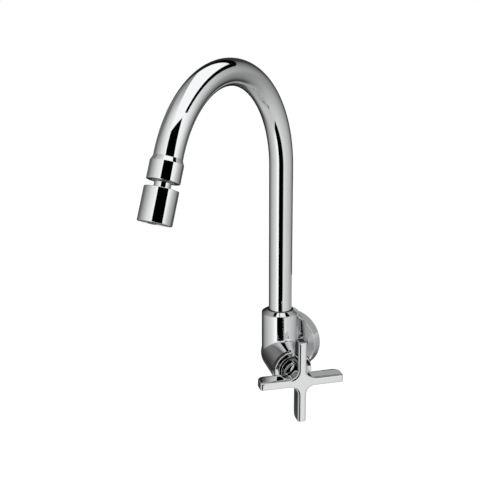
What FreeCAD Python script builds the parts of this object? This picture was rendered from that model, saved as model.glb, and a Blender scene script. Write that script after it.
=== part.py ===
import FreeCAD
import Part
import math
import os

from FreeCAD import Placement, Rotation, Vector

# A wall-mounted, single-inlet kitchen tap with a swivelling gooseneck spout.
# All sizes are in millimetres. The origin is where the inlet's axis meets the wall.
# +Z is up, -Y points out of the wall into the room and +X is to the right.

# Clearances
fixed_fit = 0.05            # round pieces that are screwed or pressed together
running_fit = 0.06          # round pieces that turn in each other
face_gap = 0.05             # flat faces that slide on each other
play = 0.3                  # round pieces that only pass through each other
cast_overlap = 1.0          # of two bodies that are fused end to end

# Spout tube
tube_radius = 11.0
tube_wall = 1.0
bend_radius = 88.1          # of the tube's centre line
bend_angle = 157.5          # the outlet leans 22.5 degrees away from the riser
bend_start = 177.4          # height at which the riser starts to bend
tube_tail = 3.3             # straight length after the bend

# Spout socket in the body, from its floor up
barrel_wall = 2.55          # round the nut's thread
socket_floor = 13.0
bush_floor_gap = 1.5
bush_wall = 2.0
bush_sleeve = 10.5
bush_shoulder = 2.0
bush_shoulder_step = 1.3
glide_thickness = 1.0
nut_thread_step = 0.9       # of the nut's thread outside the bush's shoulder
nut_thread_length = 8.05
nut_cone_height = 3.0
nut_land = 0.4              # flat ring round the nut's mouth
wiper_width = 1.4
wiper_height = 1.6
wiper_sunk = 0.6
o_ring_section = 0.9        # radius of the rubber ring's section
o_ring_groove_width = 2.2
o_ring_spacing = 4.4

# Body casting
valve_turn = 45.0           # the valve barrel's heading, from straight out to the right
valve_drop = 6.0            # of the valve's axis below the inlet's axis
valve_barrel_step = 0.85    # from the spout barrel out to the valve barrel
valve_barrel_length = 40.0  # from the riser's axis to the barrel's front face
stub_step = 3.0             # from the barrel in to the stub that carries the bonnet ring
stub_length = 2.3
crease_fillet = 1.6
neck_radius = 13.0
neck_set_back = 3.0         # from the wall to the neck's end
body_gap = 0.45             # between the spout barrel and the flange's front

# Inlet
inlet_thread_radius = 10.4775   # G 1/2 pipe thread, major diameter 20.955
inlet_thread_reach = 16.0       # behind the wall face
inlet_bore_radius = 6.5
inlet_bore_short = 0.8      # of the riser's axis
nipple_inner_radius = 9.15
nipple_inner_length = 11.0
inlet_washer_thickness = 2.0
strainer_thickness = 0.8
strainer_set_in = 2.0

# Wall flange
flange_back_radius = 29.6
flange_taper = 1.2
flange_depth = 9.6
flange_wall = 1.2
flange_edge_round = 0.8
flange_dish = 0.7
flange_hub_wall = 2.4
flange_hub_length = 5.0
flange_seal_width = 3.6
flange_seal_thickness = 2.0

# Valve cartridge, from the seat in the body outwards
seat_face = 8.0             # from the riser's axis along the valve's axis
seat_bore_radius = 4.5
seat_bore_back = 3.0
chamber_gap = 0.8           # round the cartridge's nose
outlet_passage_radius = 2.9
outlet_passage_offset = 9.9
outlet_passage_sunk = 0.6   # into the chamber
cartridge_nose_wall = 0.95
cartridge_thread_step = 0.85
cartridge_thread_length = 11.5
pocket_wall = 2.2
pocket_play = 0.7           # round the hexagon's corners
pocket_depth = 2.5          # below the barrel's front face
cartridge_hex_land = 0.55   # of the hexagon's flats outside the thread
cartridge_hex_thickness = 3.6
cartridge_gland_wall = 3.1
cartridge_gland_length = 7.7
cartridge_washer_thickness = 1.2
seat_seal_thickness = 3.0
seat_seal_stand_out = 1.5
seat_seal_wall = 2.6
disc_thickness = 3.0
disc_port_radius = 2.0
disc_port_offset = 4.3
driver_thickness = 2.3
driver_width = 6.0
window_width = 7.0
spindle_radius = 4.9
spindle_tip_step = 0.9
spindle_tip_length = 9.0
spindle_ring_section = 0.6
spindle_ring_setbacks = (8.0, 13.0)
circlip_thickness = 0.8
circlip_stand_out = 1.7
circlip_groove_depth = 0.7
circlip_end = 0.6           # of the spindle beyond its groove

# Bonnet ring
ring_step = 1.0             # from the valve barrel in to the ring
ring_length = 4.1
ring_mouth_play = 0.6       # round the handle's skirt
ring_edge_round = 0.9
ring_mouth_round = 1.2

# Cross handle
skirt_radius = 12.3
skirt_entry = 1.1           # of the skirt into the bonnet ring
skirt_gap = 12.4            # from the bonnet ring's front to the arms' back
arm_depth = 15.5
arm_width = 7.7
arm_reach = 38.6
arm_root_round = 8.0
arm_tip_round = 1.4
arm_back_round = 6.0
arm_bevel = 1.2
skirt_bore_play = 1.0       # round the gland
adapter_wall = 2.4
adapter_length = 9.8
handle_screw_radius = 1.95
handle_screw_length = 5.4
handle_screw_socket = 1.0

# Swivel outlet, measured along the outlet's axis from the end of the bend
collar_step = 1.6           # from the tube out to the collar
collar_cone_length = 3.4
collar_top_gap = 0.2
collar_below_ball = 6.4     # from the ball's centre to the collar's end
collar_wall = 2.15
collar_lip = 1.3
collar_mouth_step = 0.8     # from the ball in to the collar's mouth
collar_edge_round = 0.5
end_bush_spigot = 4.2
end_bush_thread = 4.7
end_bush_wall = 1.95
ball_side_gap = 0.85        # from the collar's bore in to the ball
ball_gap = 0.15             # between the ball and its two seats
ball_drop = 6.3             # of the ball's centre below the end bush
ball_top = 7.0              # of the ball's flat top above its centre
collar_seal_thickness = 3.0
slip_ring_thickness = 2.8
stem_radius = 6.3
stem_length = 11.7          # from the ball's centre to the housing
stem_thread_step = 0.8
stem_bore_radius = 4.0

# Aerator
housing_radius = 13.0
housing_roof = 3.0
housing_wall = 1.3
housing_step_width = 1.9
housing_upper_bore_length = 8.2
housing_edge_round = 0.5
aerator_washer_thickness = 1.4
aerator_washer_width = 2.8
screen_thickness = 0.6
screen_spacing = 0.8
insert_length = 7.5
insert_flange = 1.5
insert_waist = 0.9
insert_wall = 4.1
grid_thickness = 1.6
grid_hole_radius = 0.85
grid_hole_pitch = 2.5
mesh_hole_radius = 0.55
mesh_hole_pitch = 1.9
mesh_rim = 0.9
outlet_ring_width = 1.5
outlet_ring_length = 1.7
outlet_ring_set_in = 0.3    # from the housing's end

# Radii about the riser's axis, from the tube outwards, and its place before the wall
bush_radius = tube_radius + bush_wall
shoulder_radius = bush_radius + bush_shoulder_step
nut_thread_radius = shoulder_radius + nut_thread_step
barrel_radius = nut_thread_radius + barrel_wall
wiper_radius = tube_radius + wiper_width
riser_stand_off = flange_depth + body_gap + barrel_radius
flange_front_radius = flange_back_radius - flange_taper

# Radii about the valve's axis
valve_barrel_radius = barrel_radius + valve_barrel_step
stub_radius = valve_barrel_radius - stub_step
ring_radius = valve_barrel_radius - ring_step
ring_mouth_radius = skirt_radius + ring_mouth_play
pocket_radius = stub_radius - pocket_wall
cartridge_hex_flats = (pocket_radius - pocket_play) * math.sqrt(3)
cartridge_thread_radius = cartridge_hex_flats / 2 - cartridge_hex_land
chamber_radius = cartridge_thread_radius - cartridge_thread_step
cartridge_nose_radius = chamber_radius - chamber_gap
cartridge_gland_radius = spindle_radius + cartridge_gland_wall
skirt_bore_radius = cartridge_gland_radius + skirt_bore_play
spindle_tip_radius = spindle_radius - spindle_tip_step
spindle_groove_floor = spindle_radius - 2 * spindle_ring_section - 2 * fixed_fit
circlip_radius = spindle_radius + circlip_stand_out
circlip_groove_floor = spindle_radius - circlip_groove_depth
adapter_radius = spindle_tip_radius + adapter_wall

# Radii about the outlet's axis
collar_radius = tube_radius + collar_step
collar_bore_radius = collar_radius - collar_wall
ball_radius = collar_bore_radius - ball_side_gap
collar_mouth_radius = ball_radius - collar_mouth_step
end_bush_radius = tube_radius - tube_wall - fixed_fit
end_bush_bore_radius = end_bush_radius - end_bush_wall
stem_thread_radius = stem_radius - stem_thread_step
housing_bore_radius = housing_radius - housing_wall
housing_upper_bore_radius = housing_bore_radius - housing_step_width

# Heights in the socket
bush_bottom = socket_floor + bush_floor_gap
shoulder_bottom = bush_bottom + bush_sleeve
shoulder_top = shoulder_bottom + bush_shoulder
ledge_height = shoulder_bottom - glide_thickness - face_gap
nut_bottom = shoulder_top + glide_thickness + face_gap
barrel_top = nut_bottom + nut_thread_length
nut_top = barrel_top + nut_cone_height

# Stations along the valve's axis
pocket_floor = valve_barrel_length - pocket_depth
chamber_end = pocket_floor - cartridge_thread_length
hex_back = pocket_floor + cartridge_washer_thickness
hex_front = hex_back + cartridge_hex_thickness
gland_end = hex_front + cartridge_gland_length
stub_end = valve_barrel_length + stub_length
ring_front = valve_barrel_length + ring_length
nose_start = seat_face + seat_seal_stand_out
fixed_disc_back = seat_face + seat_seal_thickness
moving_disc_back = fixed_disc_back + disc_thickness + face_gap
driver_back = moving_disc_back + disc_thickness
driver_front = driver_back + driver_thickness
cartridge_bore_radius = cartridge_nose_radius - cartridge_nose_wall
cartridge_shoulder = driver_front + play
disc_radius = cartridge_bore_radius - play
circlip_back = gland_end + face_gap
spindle_shoulder = circlip_back + circlip_thickness + face_gap + circlip_end
spindle_end = spindle_shoulder + spindle_tip_length
skirt_start = ring_front - skirt_entry
arm_back = ring_front + skirt_gap
arm_front = arm_back + arm_depth
adapter_back = spindle_shoulder + play
adapter_end = adapter_back + adapter_length
adapter_hole_end = adapter_end + play

# Stations along the outlet's axis
end_bush_end = tube_tail + end_bush_thread
ball_centre = end_bush_end + ball_drop
collar_top = tube_tail + collar_top_gap
collar_end = ball_centre + collar_below_ball
lip_face = collar_end - collar_lip
housing_top = ball_centre + stem_length
housing_step = housing_top + housing_roof + housing_upper_bore_length
screen_start = housing_step + aerator_washer_thickness
insert_start = screen_start + 2 * screen_thickness + screen_spacing
grid_start = insert_start + insert_length
outlet_ring_start = grid_start + grid_thickness
outlet_ring_end = outlet_ring_start + outlet_ring_length
housing_end = outlet_ring_end + outlet_ring_set_in

# Frames of the four axes that the pieces are turned about
across = Vector(1, 0, 0)
up = Vector(0, 0, 1)
into_room = Vector(0, -1, 0)
valve_heading = Vector(math.sin(math.radians(valve_turn)), -math.cos(math.radians(valve_turn)), 0)
bend_turn = math.radians(bend_angle)
outlet_heading = Vector(0, -math.sin(bend_turn), math.cos(bend_turn))
bend_centre = Vector(0, -riser_stand_off - bend_radius, bend_start)
bend_end = bend_centre + Vector(0, math.cos(bend_turn), math.sin(bend_turn)) * bend_radius


def frame_along(heading, side, origin):
    """A frame whose Z axis is the heading and whose X axis is the side."""
    return Placement(origin, Rotation(side, heading.cross(side), heading, "ZXY"))


riser_frame = Placement(Vector(0, -riser_stand_off, 0), Rotation())
wall_frame = frame_along(into_room, across, Vector(0, 0, 0))
valve_frame = frame_along(valve_heading, up.cross(valve_heading),
                          Vector(0, -riser_stand_off, -valve_drop))
outlet_frame = frame_along(outlet_heading, across, bend_end)


def placed(shape, frame):
    """The shape moved from its own axis to its place in the tap."""
    moved = shape.copy()
    moved.Placement = frame.multiply(moved.Placement)
    return moved


def disc(radius, start, end):
    """A plain cylinder about Z between two stations."""
    return Part.makeCylinder(radius, end - start, Vector(0, 0, start))


def ring(outer, inner, start, end):
    """A cylinder with a round hole through it."""
    return disc(outer, start, end).cut(disc(inner, start, end))


def turned(section):
    """A solid of revolution about Z, from the (radius, station) corners of its section."""
    corners = [Vector(radius, 0, station) for radius, station in section]
    outline = Part.makePolygon(corners + corners[:1])
    return Part.Face(outline).revolve(Vector(0, 0, 0), up, 360)


def hexagon(flats, start, end):
    """A hexagonal prism about Z."""
    corner = flats / math.sqrt(3)
    points = []
    for side in range(7):
        angle = math.radians(60 * side)
        points.append(Vector(corner * math.cos(angle), corner * math.sin(angle), start))
    return Part.Face(Part.makePolygon(points)).extrude(Vector(0, 0, end - start))


def circle_edges(shape, radius, station):
    """The full circles about Z that have this radius and lie at this station."""
    found = []
    for edge in shape.Edges:
        curve = edge.Curve
        if not isinstance(curve, Part.Circle):
            continue
        if abs(curve.Radius - radius) < 0.01 and abs(curve.Center.z - station) < 0.01:
            found.append(edge)
    return found


def rounded(shape, radius, circles):
    """The shape with the circles at these (radius, station) pairs rounded."""
    edges = []
    for circle_radius, station in circles:
        edges += circle_edges(shape, circle_radius, station)
    return shape.makeFillet(radius, edges)


def perforated(radius, start, end, hole_radius, pitch, rim):
    """A round plate whose holes lie on a triangular grid inside a plain rim."""
    plate = disc(radius, start, end)
    holes = []
    rows = int(radius / pitch) + 1
    for row in range(-rows, rows + 1):
        for column in range(-2 * rows, 2 * rows + 1):
            x = pitch * (column + 0.5 * (row % 2))
            y = pitch * row * math.sqrt(3) / 2
            if math.hypot(x, y) + hole_radius + rim < radius:
                holes.append(Part.makeCylinder(hole_radius, end - start, Vector(x, y, start)))
    return plate.cut(holes)


def body_outside():
    """Spout barrel, valve barrel and round elbow, filleted where they meet, and the neck."""
    barrel = disc(barrel_radius, -valve_drop, barrel_top)
    elbow = Part.makeSphere(valve_barrel_radius)
    valve_barrel = disc(valve_barrel_radius, 0, valve_barrel_length)
    neck = disc(neck_radius, neck_set_back, riser_stand_off)
    body = placed(barrel, riser_frame)
    body = body.fuse([placed(elbow, valve_frame), placed(valve_barrel, valve_frame)])
    body = body.removeSplitter()
    creases = []
    for edge in body.Edges:
        middle = edge.valueAt((edge.FirstParameter + edge.LastParameter) / 2)
        from_riser = math.hypot(middle.x, middle.y + riser_stand_off)
        on_barrel = abs(from_riser - barrel_radius) < 0.01
        upright = edge.BoundBox.XLength < 0.01
        if on_barrel and not upright and middle.z < socket_floor:
            creases.append(edge)
    return body.makeFillet(crease_fillet, creases).fuse(placed(neck, wall_frame))


def body_casting():
    """The brass body: spout socket on top, valve barrel in front, neck into the wall."""
    body = body_outside()
    stub = disc(stub_radius, valve_barrel_length - cast_overlap, stub_end)
    body = body.fuse(placed(stub, valve_frame))
    socket = [
        disc(bush_radius + running_fit, socket_floor, ledge_height),
        disc(shoulder_radius + running_fit, ledge_height, nut_bottom),
        disc(nut_thread_radius + fixed_fit, nut_bottom, barrel_top),
    ]
    valve = [
        disc(seat_bore_radius, -seat_bore_back, seat_face),
        disc(chamber_radius, seat_face, chamber_end),
        disc(cartridge_thread_radius + fixed_fit, chamber_end, pocket_floor),
        disc(pocket_radius, pocket_floor, stub_end),
    ]
    washer_seat = neck_set_back + nipple_inner_length + inlet_washer_thickness
    inlet = [
        disc(nipple_inner_radius + fixed_fit, neck_set_back, washer_seat),
        disc(inlet_bore_radius, washer_seat, riser_stand_off - inlet_bore_short),
    ]
    passage_bottom = chamber_radius - valve_drop - outlet_passage_sunk
    passage = placed(disc(outlet_passage_radius, passage_bottom, socket_floor),
                     Placement(valve_heading * outlet_passage_offset, Rotation()))
    hollows = [placed(hollow, riser_frame) for hollow in socket + [passage]]
    hollows += [placed(hollow, valve_frame) for hollow in valve]
    hollows += [placed(hollow, wall_frame) for hollow in inlet]
    return body.cut(hollows)


def wall_flange():
    """A round cover cup with a dished face and a threaded hub on the neck."""
    hub_bore = neck_radius + fixed_fit
    hub_outer = hub_bore + flange_hub_wall
    dished_face = flange_depth - flange_dish
    inner_face = dished_face - flange_wall
    slope = (flange_back_radius - flange_front_radius) / flange_depth
    rim_at_inner_face = flange_back_radius - slope * inner_face
    cup = turned([
        (flange_back_radius, 0),
        (flange_front_radius, flange_depth),
        (flange_front_radius - flange_wall, flange_depth),
        (hub_outer, dished_face),
        (hub_bore, dished_face),
        (hub_bore, inner_face - flange_hub_length + flange_wall),
        (hub_outer, inner_face - flange_hub_length + flange_wall),
        (hub_outer, inner_face),
        (rim_at_inner_face - flange_wall, inner_face),
        (flange_back_radius - flange_wall, 0),
    ])
    return rounded(cup, flange_edge_round, [(flange_front_radius, flange_depth)])


def flange_seal():
    """Foam ring inside the flange's rim, against the wall."""
    outer = flange_back_radius - flange_wall - play
    return ring(outer, outer - flange_seal_width, 0, flange_seal_thickness)


def inlet_nipple():
    """Hollow brass nipple: its inner end is in the neck, its outer end in the wall fitting."""
    inner_end = neck_set_back + nipple_inner_length
    nipple = disc(inlet_thread_radius, -inlet_thread_reach, neck_set_back)
    nipple = nipple.fuse(disc(nipple_inner_radius, neck_set_back, inner_end))
    nipple = nipple.cut(disc(inlet_bore_radius, -inlet_thread_reach, inner_end))
    strainer_seat = strainer_set_in + strainer_thickness
    mouth = disc(inlet_bore_radius + strainer_thickness,
                 -inlet_thread_reach, strainer_seat - inlet_thread_reach)
    return nipple.cut(mouth)


def inlet_strainer():
    """Fine mesh disc in the nipple's mouth."""
    start = strainer_set_in - inlet_thread_reach
    return perforated(inlet_bore_radius + strainer_thickness - fixed_fit, start,
                      start + strainer_thickness, mesh_hole_radius, mesh_hole_pitch, mesh_rim)


def inlet_washer():
    """Fibre washer between the nipple and the neck's inner step."""
    start = neck_set_back + nipple_inner_length
    return ring(nipple_inner_radius, inlet_bore_radius, start, start + inlet_washer_thickness)


def spout_nut():
    """Threaded ring with a conical top that keeps the spout in its socket."""
    bore = tube_radius + play
    wiper_seat = nut_top - wiper_sunk - wiper_height
    return turned([
        (bore, nut_bottom),
        (nut_thread_radius, nut_bottom),
        (nut_thread_radius, barrel_top),
        (barrel_radius, barrel_top),
        (wiper_radius + nut_land, nut_top),
        (wiper_radius, nut_top),
        (wiper_radius, wiper_seat),
        (bore, wiper_seat),
    ])


def spout_wiper():
    """Black ring in the nut's mouth that wipes the turning tube."""
    top = nut_top - wiper_sunk
    return ring(wiper_radius - fixed_fit, tube_radius + running_fit, top - wiper_height, top)


def socket_glide_rings():
    """Two plastic rings, one under and one over the spout's shoulder."""
    lower = ring(shoulder_radius, bush_radius + running_fit,
                 ledge_height, ledge_height + glide_thickness)
    upper = ring(shoulder_radius, tube_radius + play, nut_bottom - glide_thickness, nut_bottom)
    return Part.makeCompound([lower, upper])


def cartridge_body():
    """Brass headwork: nose round the discs, thread, hexagon and gland."""
    nose = disc(cartridge_nose_radius, nose_start, chamber_end)
    outside = nose.fuse([
        disc(cartridge_thread_radius, chamber_end, hex_back),
        hexagon(cartridge_hex_flats, hex_back, hex_front),
        disc(cartridge_gland_radius, hex_front, gland_end),
    ])
    windows = []
    for side in (-1, 1):
        window = Part.makeBox(window_width, cartridge_nose_radius, driver_thickness,
                              Vector(-window_width / 2, 0, driver_back + play))
        window.rotate(Vector(0, 0, 0), up, 90 - 90 * side)
        windows.append(window)
    return outside.cut([
        disc(cartridge_bore_radius, nose_start, cartridge_shoulder),
        disc(spindle_radius + running_fit, cartridge_shoulder, gland_end),
    ] + windows)


def cartridge_washer():
    """Fibre washer under the hexagon."""
    return ring(cartridge_hex_flats / 2, cartridge_thread_radius + fixed_fit,
                pocket_floor, hex_back)


def seat_seal():
    """Rubber ring that presses the fixed disc's ports on the body's seat."""
    outer = cartridge_bore_radius - fixed_fit
    return ring(outer, outer - seat_seal_wall, seat_face, fixed_disc_back)


def ceramic_disc(back, radius, port_heading):
    """Ceramic disc with two round ports on one diameter."""
    blank = disc(radius, back, back + disc_thickness)
    ports = []
    for side in (-1, 1):
        angle = math.radians(port_heading)
        centre = Vector(side * disc_port_offset * math.cos(angle),
                        side * disc_port_offset * math.sin(angle), back)
        ports.append(Part.makeCylinder(disc_port_radius, disc_thickness, centre))
    return blank.cut(ports)


def ceramic_disc_fixed():
    """The disc that stays still in the cartridge."""
    return ceramic_disc(fixed_disc_back, cartridge_bore_radius - fixed_fit, 0)


def ceramic_disc_moving():
    """The disc that the spindle turns: its ports stand across the fixed ones when shut."""
    return ceramic_disc(moving_disc_back, disc_radius, 90)


def bonnet_ring():
    """Chromed ring on the barrel's stub that hides the cartridge's hexagon."""
    thread = stub_radius + fixed_fit
    lip_back = stub_end + face_gap
    plain = turned([
        (thread, valve_barrel_length),
        (ring_radius, valve_barrel_length),
        (ring_radius, ring_front),
        (ring_mouth_radius, ring_front),
        (ring_mouth_radius, lip_back),
        (thread, lip_back),
    ])
    smooth = rounded(plain, ring_edge_round, [(ring_radius, ring_front)])
    return rounded(smooth, ring_mouth_round, [(ring_mouth_radius, ring_front)])


def arm_corner(x, y):
    """A point of the handle's outline, on the plane of the arms' back."""
    return Vector(x, y, arm_back)


def arm_outline():
    """The plus-shaped outline of the four arms, with round tips and round roots."""
    half = arm_width / 2
    root = half + arm_root_round
    tip = arm_reach - arm_tip_round
    edge = half - arm_tip_round
    root_middle = root - arm_root_round * math.sqrt(0.5)
    tip_middle = arm_tip_round * math.sqrt(0.5)
    one_arm = [
        Part.LineSegment(arm_corner(root, -half), arm_corner(tip, -half)),
        Part.Arc(arm_corner(tip, -half), arm_corner(tip + tip_middle, -edge - tip_middle),
                 arm_corner(arm_reach, -edge)),
        Part.LineSegment(arm_corner(arm_reach, -edge), arm_corner(arm_reach, edge)),
        Part.Arc(arm_corner(arm_reach, edge), arm_corner(tip + tip_middle, edge + tip_middle),
                 arm_corner(tip, half)),
        Part.LineSegment(arm_corner(tip, half), arm_corner(root, half)),
        Part.Arc(arm_corner(root, half), arm_corner(root_middle, root_middle),
                 arm_corner(half, root)),
    ]
    edges = []
    for quarter in range(4):
        for curve in one_arm:
            edge_shape = curve.toShape()
            edge_shape.rotate(Vector(0, 0, 0), up, 90 * quarter)
            edges.append(edge_shape)
    return Part.Wire(Part.__sortEdges__(edges))


def arm_envelope():
    """A thick disc as wide as the handle: its round back edge shapes the arms' tips."""
    rim = arm_reach + play
    blank = disc(rim, arm_back, arm_front)
    return rounded(blank, arm_back_round, [(rim, arm_back)])


def handle_cross():
    """One-piece cross handle: four flat arms and a round skirt behind them."""
    arms = Part.Face(arm_outline()).extrude(Vector(0, 0, arm_depth)).common(arm_envelope())
    front_edges = []
    for edge in arms.Edges:
        if all(abs(vertex.Z - arm_front) < 0.01 for vertex in edge.Vertexes):
            front_edges.append(edge)
    arms = arms.makeChamfer(arm_bevel, front_edges)
    handle = arms.fuse(disc(skirt_radius, skirt_start, arm_back + cast_overlap)).removeSplitter()
    screw_hole = Part.makeCylinder(handle_screw_radius + fixed_fit, skirt_radius,
                                   Vector(0, 0, handle_screw_station()), Vector(0, -1, 0))
    return handle.cut([
        disc(skirt_bore_radius, skirt_start, adapter_back),
        disc(adapter_radius + fixed_fit, adapter_back, adapter_hole_end),
        screw_hole,
    ])


def handle_screw_station():
    """The grub screw sits midway in the skirt's solid part."""
    return (adapter_back + arm_back) / 2


def handle_set_screw():
    """Grub screw with a hexagon socket, under the skirt."""
    start = adapter_radius + fixed_fit
    screw = disc(handle_screw_radius, start, start + handle_screw_length)
    socket = hexagon(2 * handle_screw_socket, start + handle_screw_length / 2,
                     start + handle_screw_length)
    down = frame_along(Vector(0, -1, 0), across, Vector(0, 0, handle_screw_station()))
    return placed(screw.cut(socket), down)


def spline_adapter():
    """Brass sleeve between the spindle's tip and the handle's bore."""
    sleeve = disc(adapter_radius, adapter_back, adapter_end)
    return sleeve.cut(disc(spindle_tip_radius + fixed_fit, adapter_back, spindle_end + play))


def valve_spindle():
    """Brass spindle: bar that drives the moving disc, ringed shaft and slimmer tip."""
    bar = disc(disc_radius, driver_back, driver_front)
    bar = bar.common(Part.makeBox(4 * disc_radius, driver_width, driver_thickness,
                                  Vector(-2 * disc_radius, -driver_width / 2, driver_back)))
    shaft = disc(spindle_radius, driver_front, spindle_shoulder)
    tip = disc(spindle_tip_radius, spindle_shoulder, spindle_end)
    grooves = [ring(2 * spindle_radius, circlip_groove_floor, circlip_back - face_gap,
                    circlip_back + circlip_thickness + face_gap)]
    for setback in spindle_ring_setbacks:
        middle = gland_end - setback
        half_width = spindle_ring_section + face_gap
        grooves.append(ring(2 * spindle_radius, spindle_groove_floor,
                            middle - half_width, middle + half_width))
    return bar.fuse([shaft, tip]).removeSplitter().cut(grooves)


def spindle_o_rings():
    """Two rubber rings in the spindle's grooves."""
    centre_radius = spindle_groove_floor + spindle_ring_section + fixed_fit
    rings = []
    for setback in spindle_ring_setbacks:
        rings.append(Part.makeTorus(centre_radius, spindle_ring_section,
                                    Vector(0, 0, gland_end - setback)))
    return Part.makeCompound(rings)


def spindle_circlip():
    """Spring clip outside the gland that keeps the spindle in."""
    clip = ring(circlip_radius, circlip_groove_floor + fixed_fit,
                circlip_back, circlip_back + circlip_thickness)
    mouth = Part.makeBox(circlip_groove_floor, circlip_radius, circlip_thickness,
                         Vector(-circlip_groove_floor / 2, 0, circlip_back))
    return clip.cut(mouth)


def bent_rod(radius):
    """A solid rod along the spout's centre line: riser, bend and a short straight tail."""
    section = Part.Face(Part.Wire(Part.makeCircle(radius)))
    foot = placed(section, Placement(Vector(0, -riser_stand_off, bush_bottom), Rotation()))
    riser = foot.extrude(Vector(0, 0, bend_start - bush_bottom))
    knee = placed(section, Placement(Vector(0, -riser_stand_off, bend_start), Rotation()))
    bend = knee.revolve(bend_centre, across, bend_angle)
    tail = placed(section, outlet_frame).extrude(outlet_heading * tube_tail)
    return riser.fuse([bend, tail]).removeSplitter()


def spout_tube():
    """The gooseneck: one bent tube."""
    return bent_rod(tube_radius).cut(bent_rod(tube_radius - tube_wall))


def groove_middles():
    """Heights of the two rubber rings on the base bush."""
    middle = (bush_bottom + ledge_height) / 2
    return (middle - o_ring_spacing / 2, middle + o_ring_spacing / 2)


def spout_base_bush():
    """Brass bush brazed on the riser's foot, with two ring grooves and a shoulder."""
    bush = disc(bush_radius, bush_bottom, shoulder_bottom)
    bush = bush.fuse(disc(shoulder_radius, shoulder_bottom, shoulder_top)).removeSplitter()
    groove_floor = bush_radius - 2 * o_ring_section + running_fit
    cuts = [disc(tube_radius + fixed_fit, bush_bottom, shoulder_top)]
    for middle in groove_middles():
        cuts.append(ring(2 * bush_radius, groove_floor, middle - o_ring_groove_width / 2,
                         middle + o_ring_groove_width / 2))
    return bush.cut(cuts)


def spout_o_rings():
    """Two rubber rings that seal the spout in its socket."""
    centre_radius = bush_radius + running_fit - o_ring_section
    rings = []
    for middle in groove_middles():
        rings.append(Part.makeTorus(centre_radius, o_ring_section - fixed_fit,
                                    Vector(0, 0, middle)))
    return Part.makeCompound(rings)


def spout_end_bush():
    """Threaded brass bush in the tube's end that carries the collar."""
    thread = collar_bore_radius - fixed_fit
    bush = disc(end_bush_radius, tube_tail - end_bush_spigot, tube_tail)
    bush = bush.fuse(disc(thread, tube_tail, end_bush_end))
    return bush.cut(disc(end_bush_bore_radius, tube_tail - end_bush_spigot, end_bush_end))


def swivel_collar():
    """Chromed nut with a conical top that holds the ball."""
    collar = turned([
        (collar_bore_radius, collar_top),
        (tube_radius, collar_top),
        (collar_radius, collar_top + collar_cone_length),
        (collar_radius, collar_end),
        (collar_mouth_radius, collar_end),
        (collar_mouth_radius, lip_face),
        (collar_bore_radius, lip_face),
    ])
    return rounded(collar, collar_edge_round, [(collar_radius, collar_end)])


def ball_seat(start, end):
    """A ring that fills the collar's bore round the ball's sphere."""
    blank = disc(collar_bore_radius - fixed_fit, start, end)
    return blank.cut(Part.makeSphere(ball_radius + ball_gap, Vector(0, 0, ball_centre)))


def collar_seal():
    """Rubber seat above the ball."""
    return ball_seat(end_bush_end, end_bush_end + collar_seal_thickness)


def ball_slip_ring():
    """Plastic seat under the ball, free to turn in the collar."""
    return ball_seat(lip_face - face_gap - slip_ring_thickness, lip_face - face_gap)


def ball_stem():
    """Hollow ball with a flat top, its stem and the thread for the housing."""
    ball = Part.makeSphere(ball_radius, Vector(0, 0, ball_centre))
    ball = ball.common(disc(ball_radius, ball_centre - ball_top, ball_centre + ball_radius))
    stem = disc(stem_radius, ball_centre, housing_top)
    thread = disc(stem_thread_radius, housing_top, housing_top + housing_roof)
    whole = ball.fuse([stem, thread]).removeSplitter()
    return whole.cut(disc(stem_bore_radius, ball_centre - ball_radius,
                          housing_top + housing_roof))


def aerator_housing():
    """Chromed cup, screwed on the stem, open at the bottom."""
    housing = turned([
        (stem_thread_radius + fixed_fit, housing_top),
        (housing_radius, housing_top),
        (housing_radius, housing_end),
        (housing_bore_radius, housing_end),
        (housing_bore_radius, housing_step),
        (housing_upper_bore_radius, housing_step),
        (housing_upper_bore_radius, housing_top + housing_roof),
        (stem_thread_radius + fixed_fit, housing_top + housing_roof),
    ])
    return rounded(housing, housing_edge_round,
                   [(housing_radius, housing_top), (housing_radius, housing_end)])


def aerator_washer():
    """Rubber washer on the housing's inner step."""
    outer = housing_bore_radius - fixed_fit
    return ring(outer, outer - aerator_washer_width, housing_step, screen_start)


def aerator_screens():
    """Two fine mesh discs joined by the spacer rim between them."""
    outer = housing_bore_radius - fixed_fit
    lower_start = screen_start + screen_thickness + screen_spacing
    upper = perforated(outer, screen_start, screen_start + screen_thickness,
                       mesh_hole_radius, mesh_hole_pitch, aerator_washer_width)
    spacer = ring(outer, outer - mesh_rim, screen_start + screen_thickness, lower_start)
    lower = perforated(outer, lower_start, lower_start + screen_thickness,
                       mesh_hole_radius, mesh_hole_pitch, aerator_washer_width)
    return upper.fuse([spacer, lower])


def aerator_insert():
    """Plastic mixing barrel with a flange at each end and air slots in its waist."""
    outer = housing_bore_radius - fixed_fit
    waist = outer - insert_waist
    bore = outer - insert_wall
    insert_end = insert_start + insert_length
    insert = turned([
        (bore, insert_start),
        (outer, insert_start),
        (outer, insert_start + insert_flange),
        (waist, insert_start + insert_flange),
        (waist, insert_end - insert_flange),
        (outer, insert_end - insert_flange),
        (outer, insert_end),
        (bore, insert_end),
    ])
    slots = []
    slot_length = insert_length - 4 * insert_flange
    for turn in range(6):
        slot = Part.makeBox(outer, insert_flange, slot_length,
                            Vector(0, -insert_flange / 2, insert_start + 2 * insert_flange))
        slot.rotate(Vector(0, 0, 0), up, 60 * turn)
        slots.append(slot)
    return insert.cut(slots)


def outlet_grid():
    """Plastic grid that straightens the stream."""
    return perforated(housing_bore_radius - fixed_fit, grid_start, grid_start + grid_thickness,
                      grid_hole_radius, grid_hole_pitch, outlet_ring_width)


def outlet_ring():
    """Threaded ring that keeps the insert and its grid in the housing."""
    outer = housing_bore_radius - fixed_fit
    return ring(outer, outer - outlet_ring_width, outlet_ring_start, outlet_ring_end)


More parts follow.
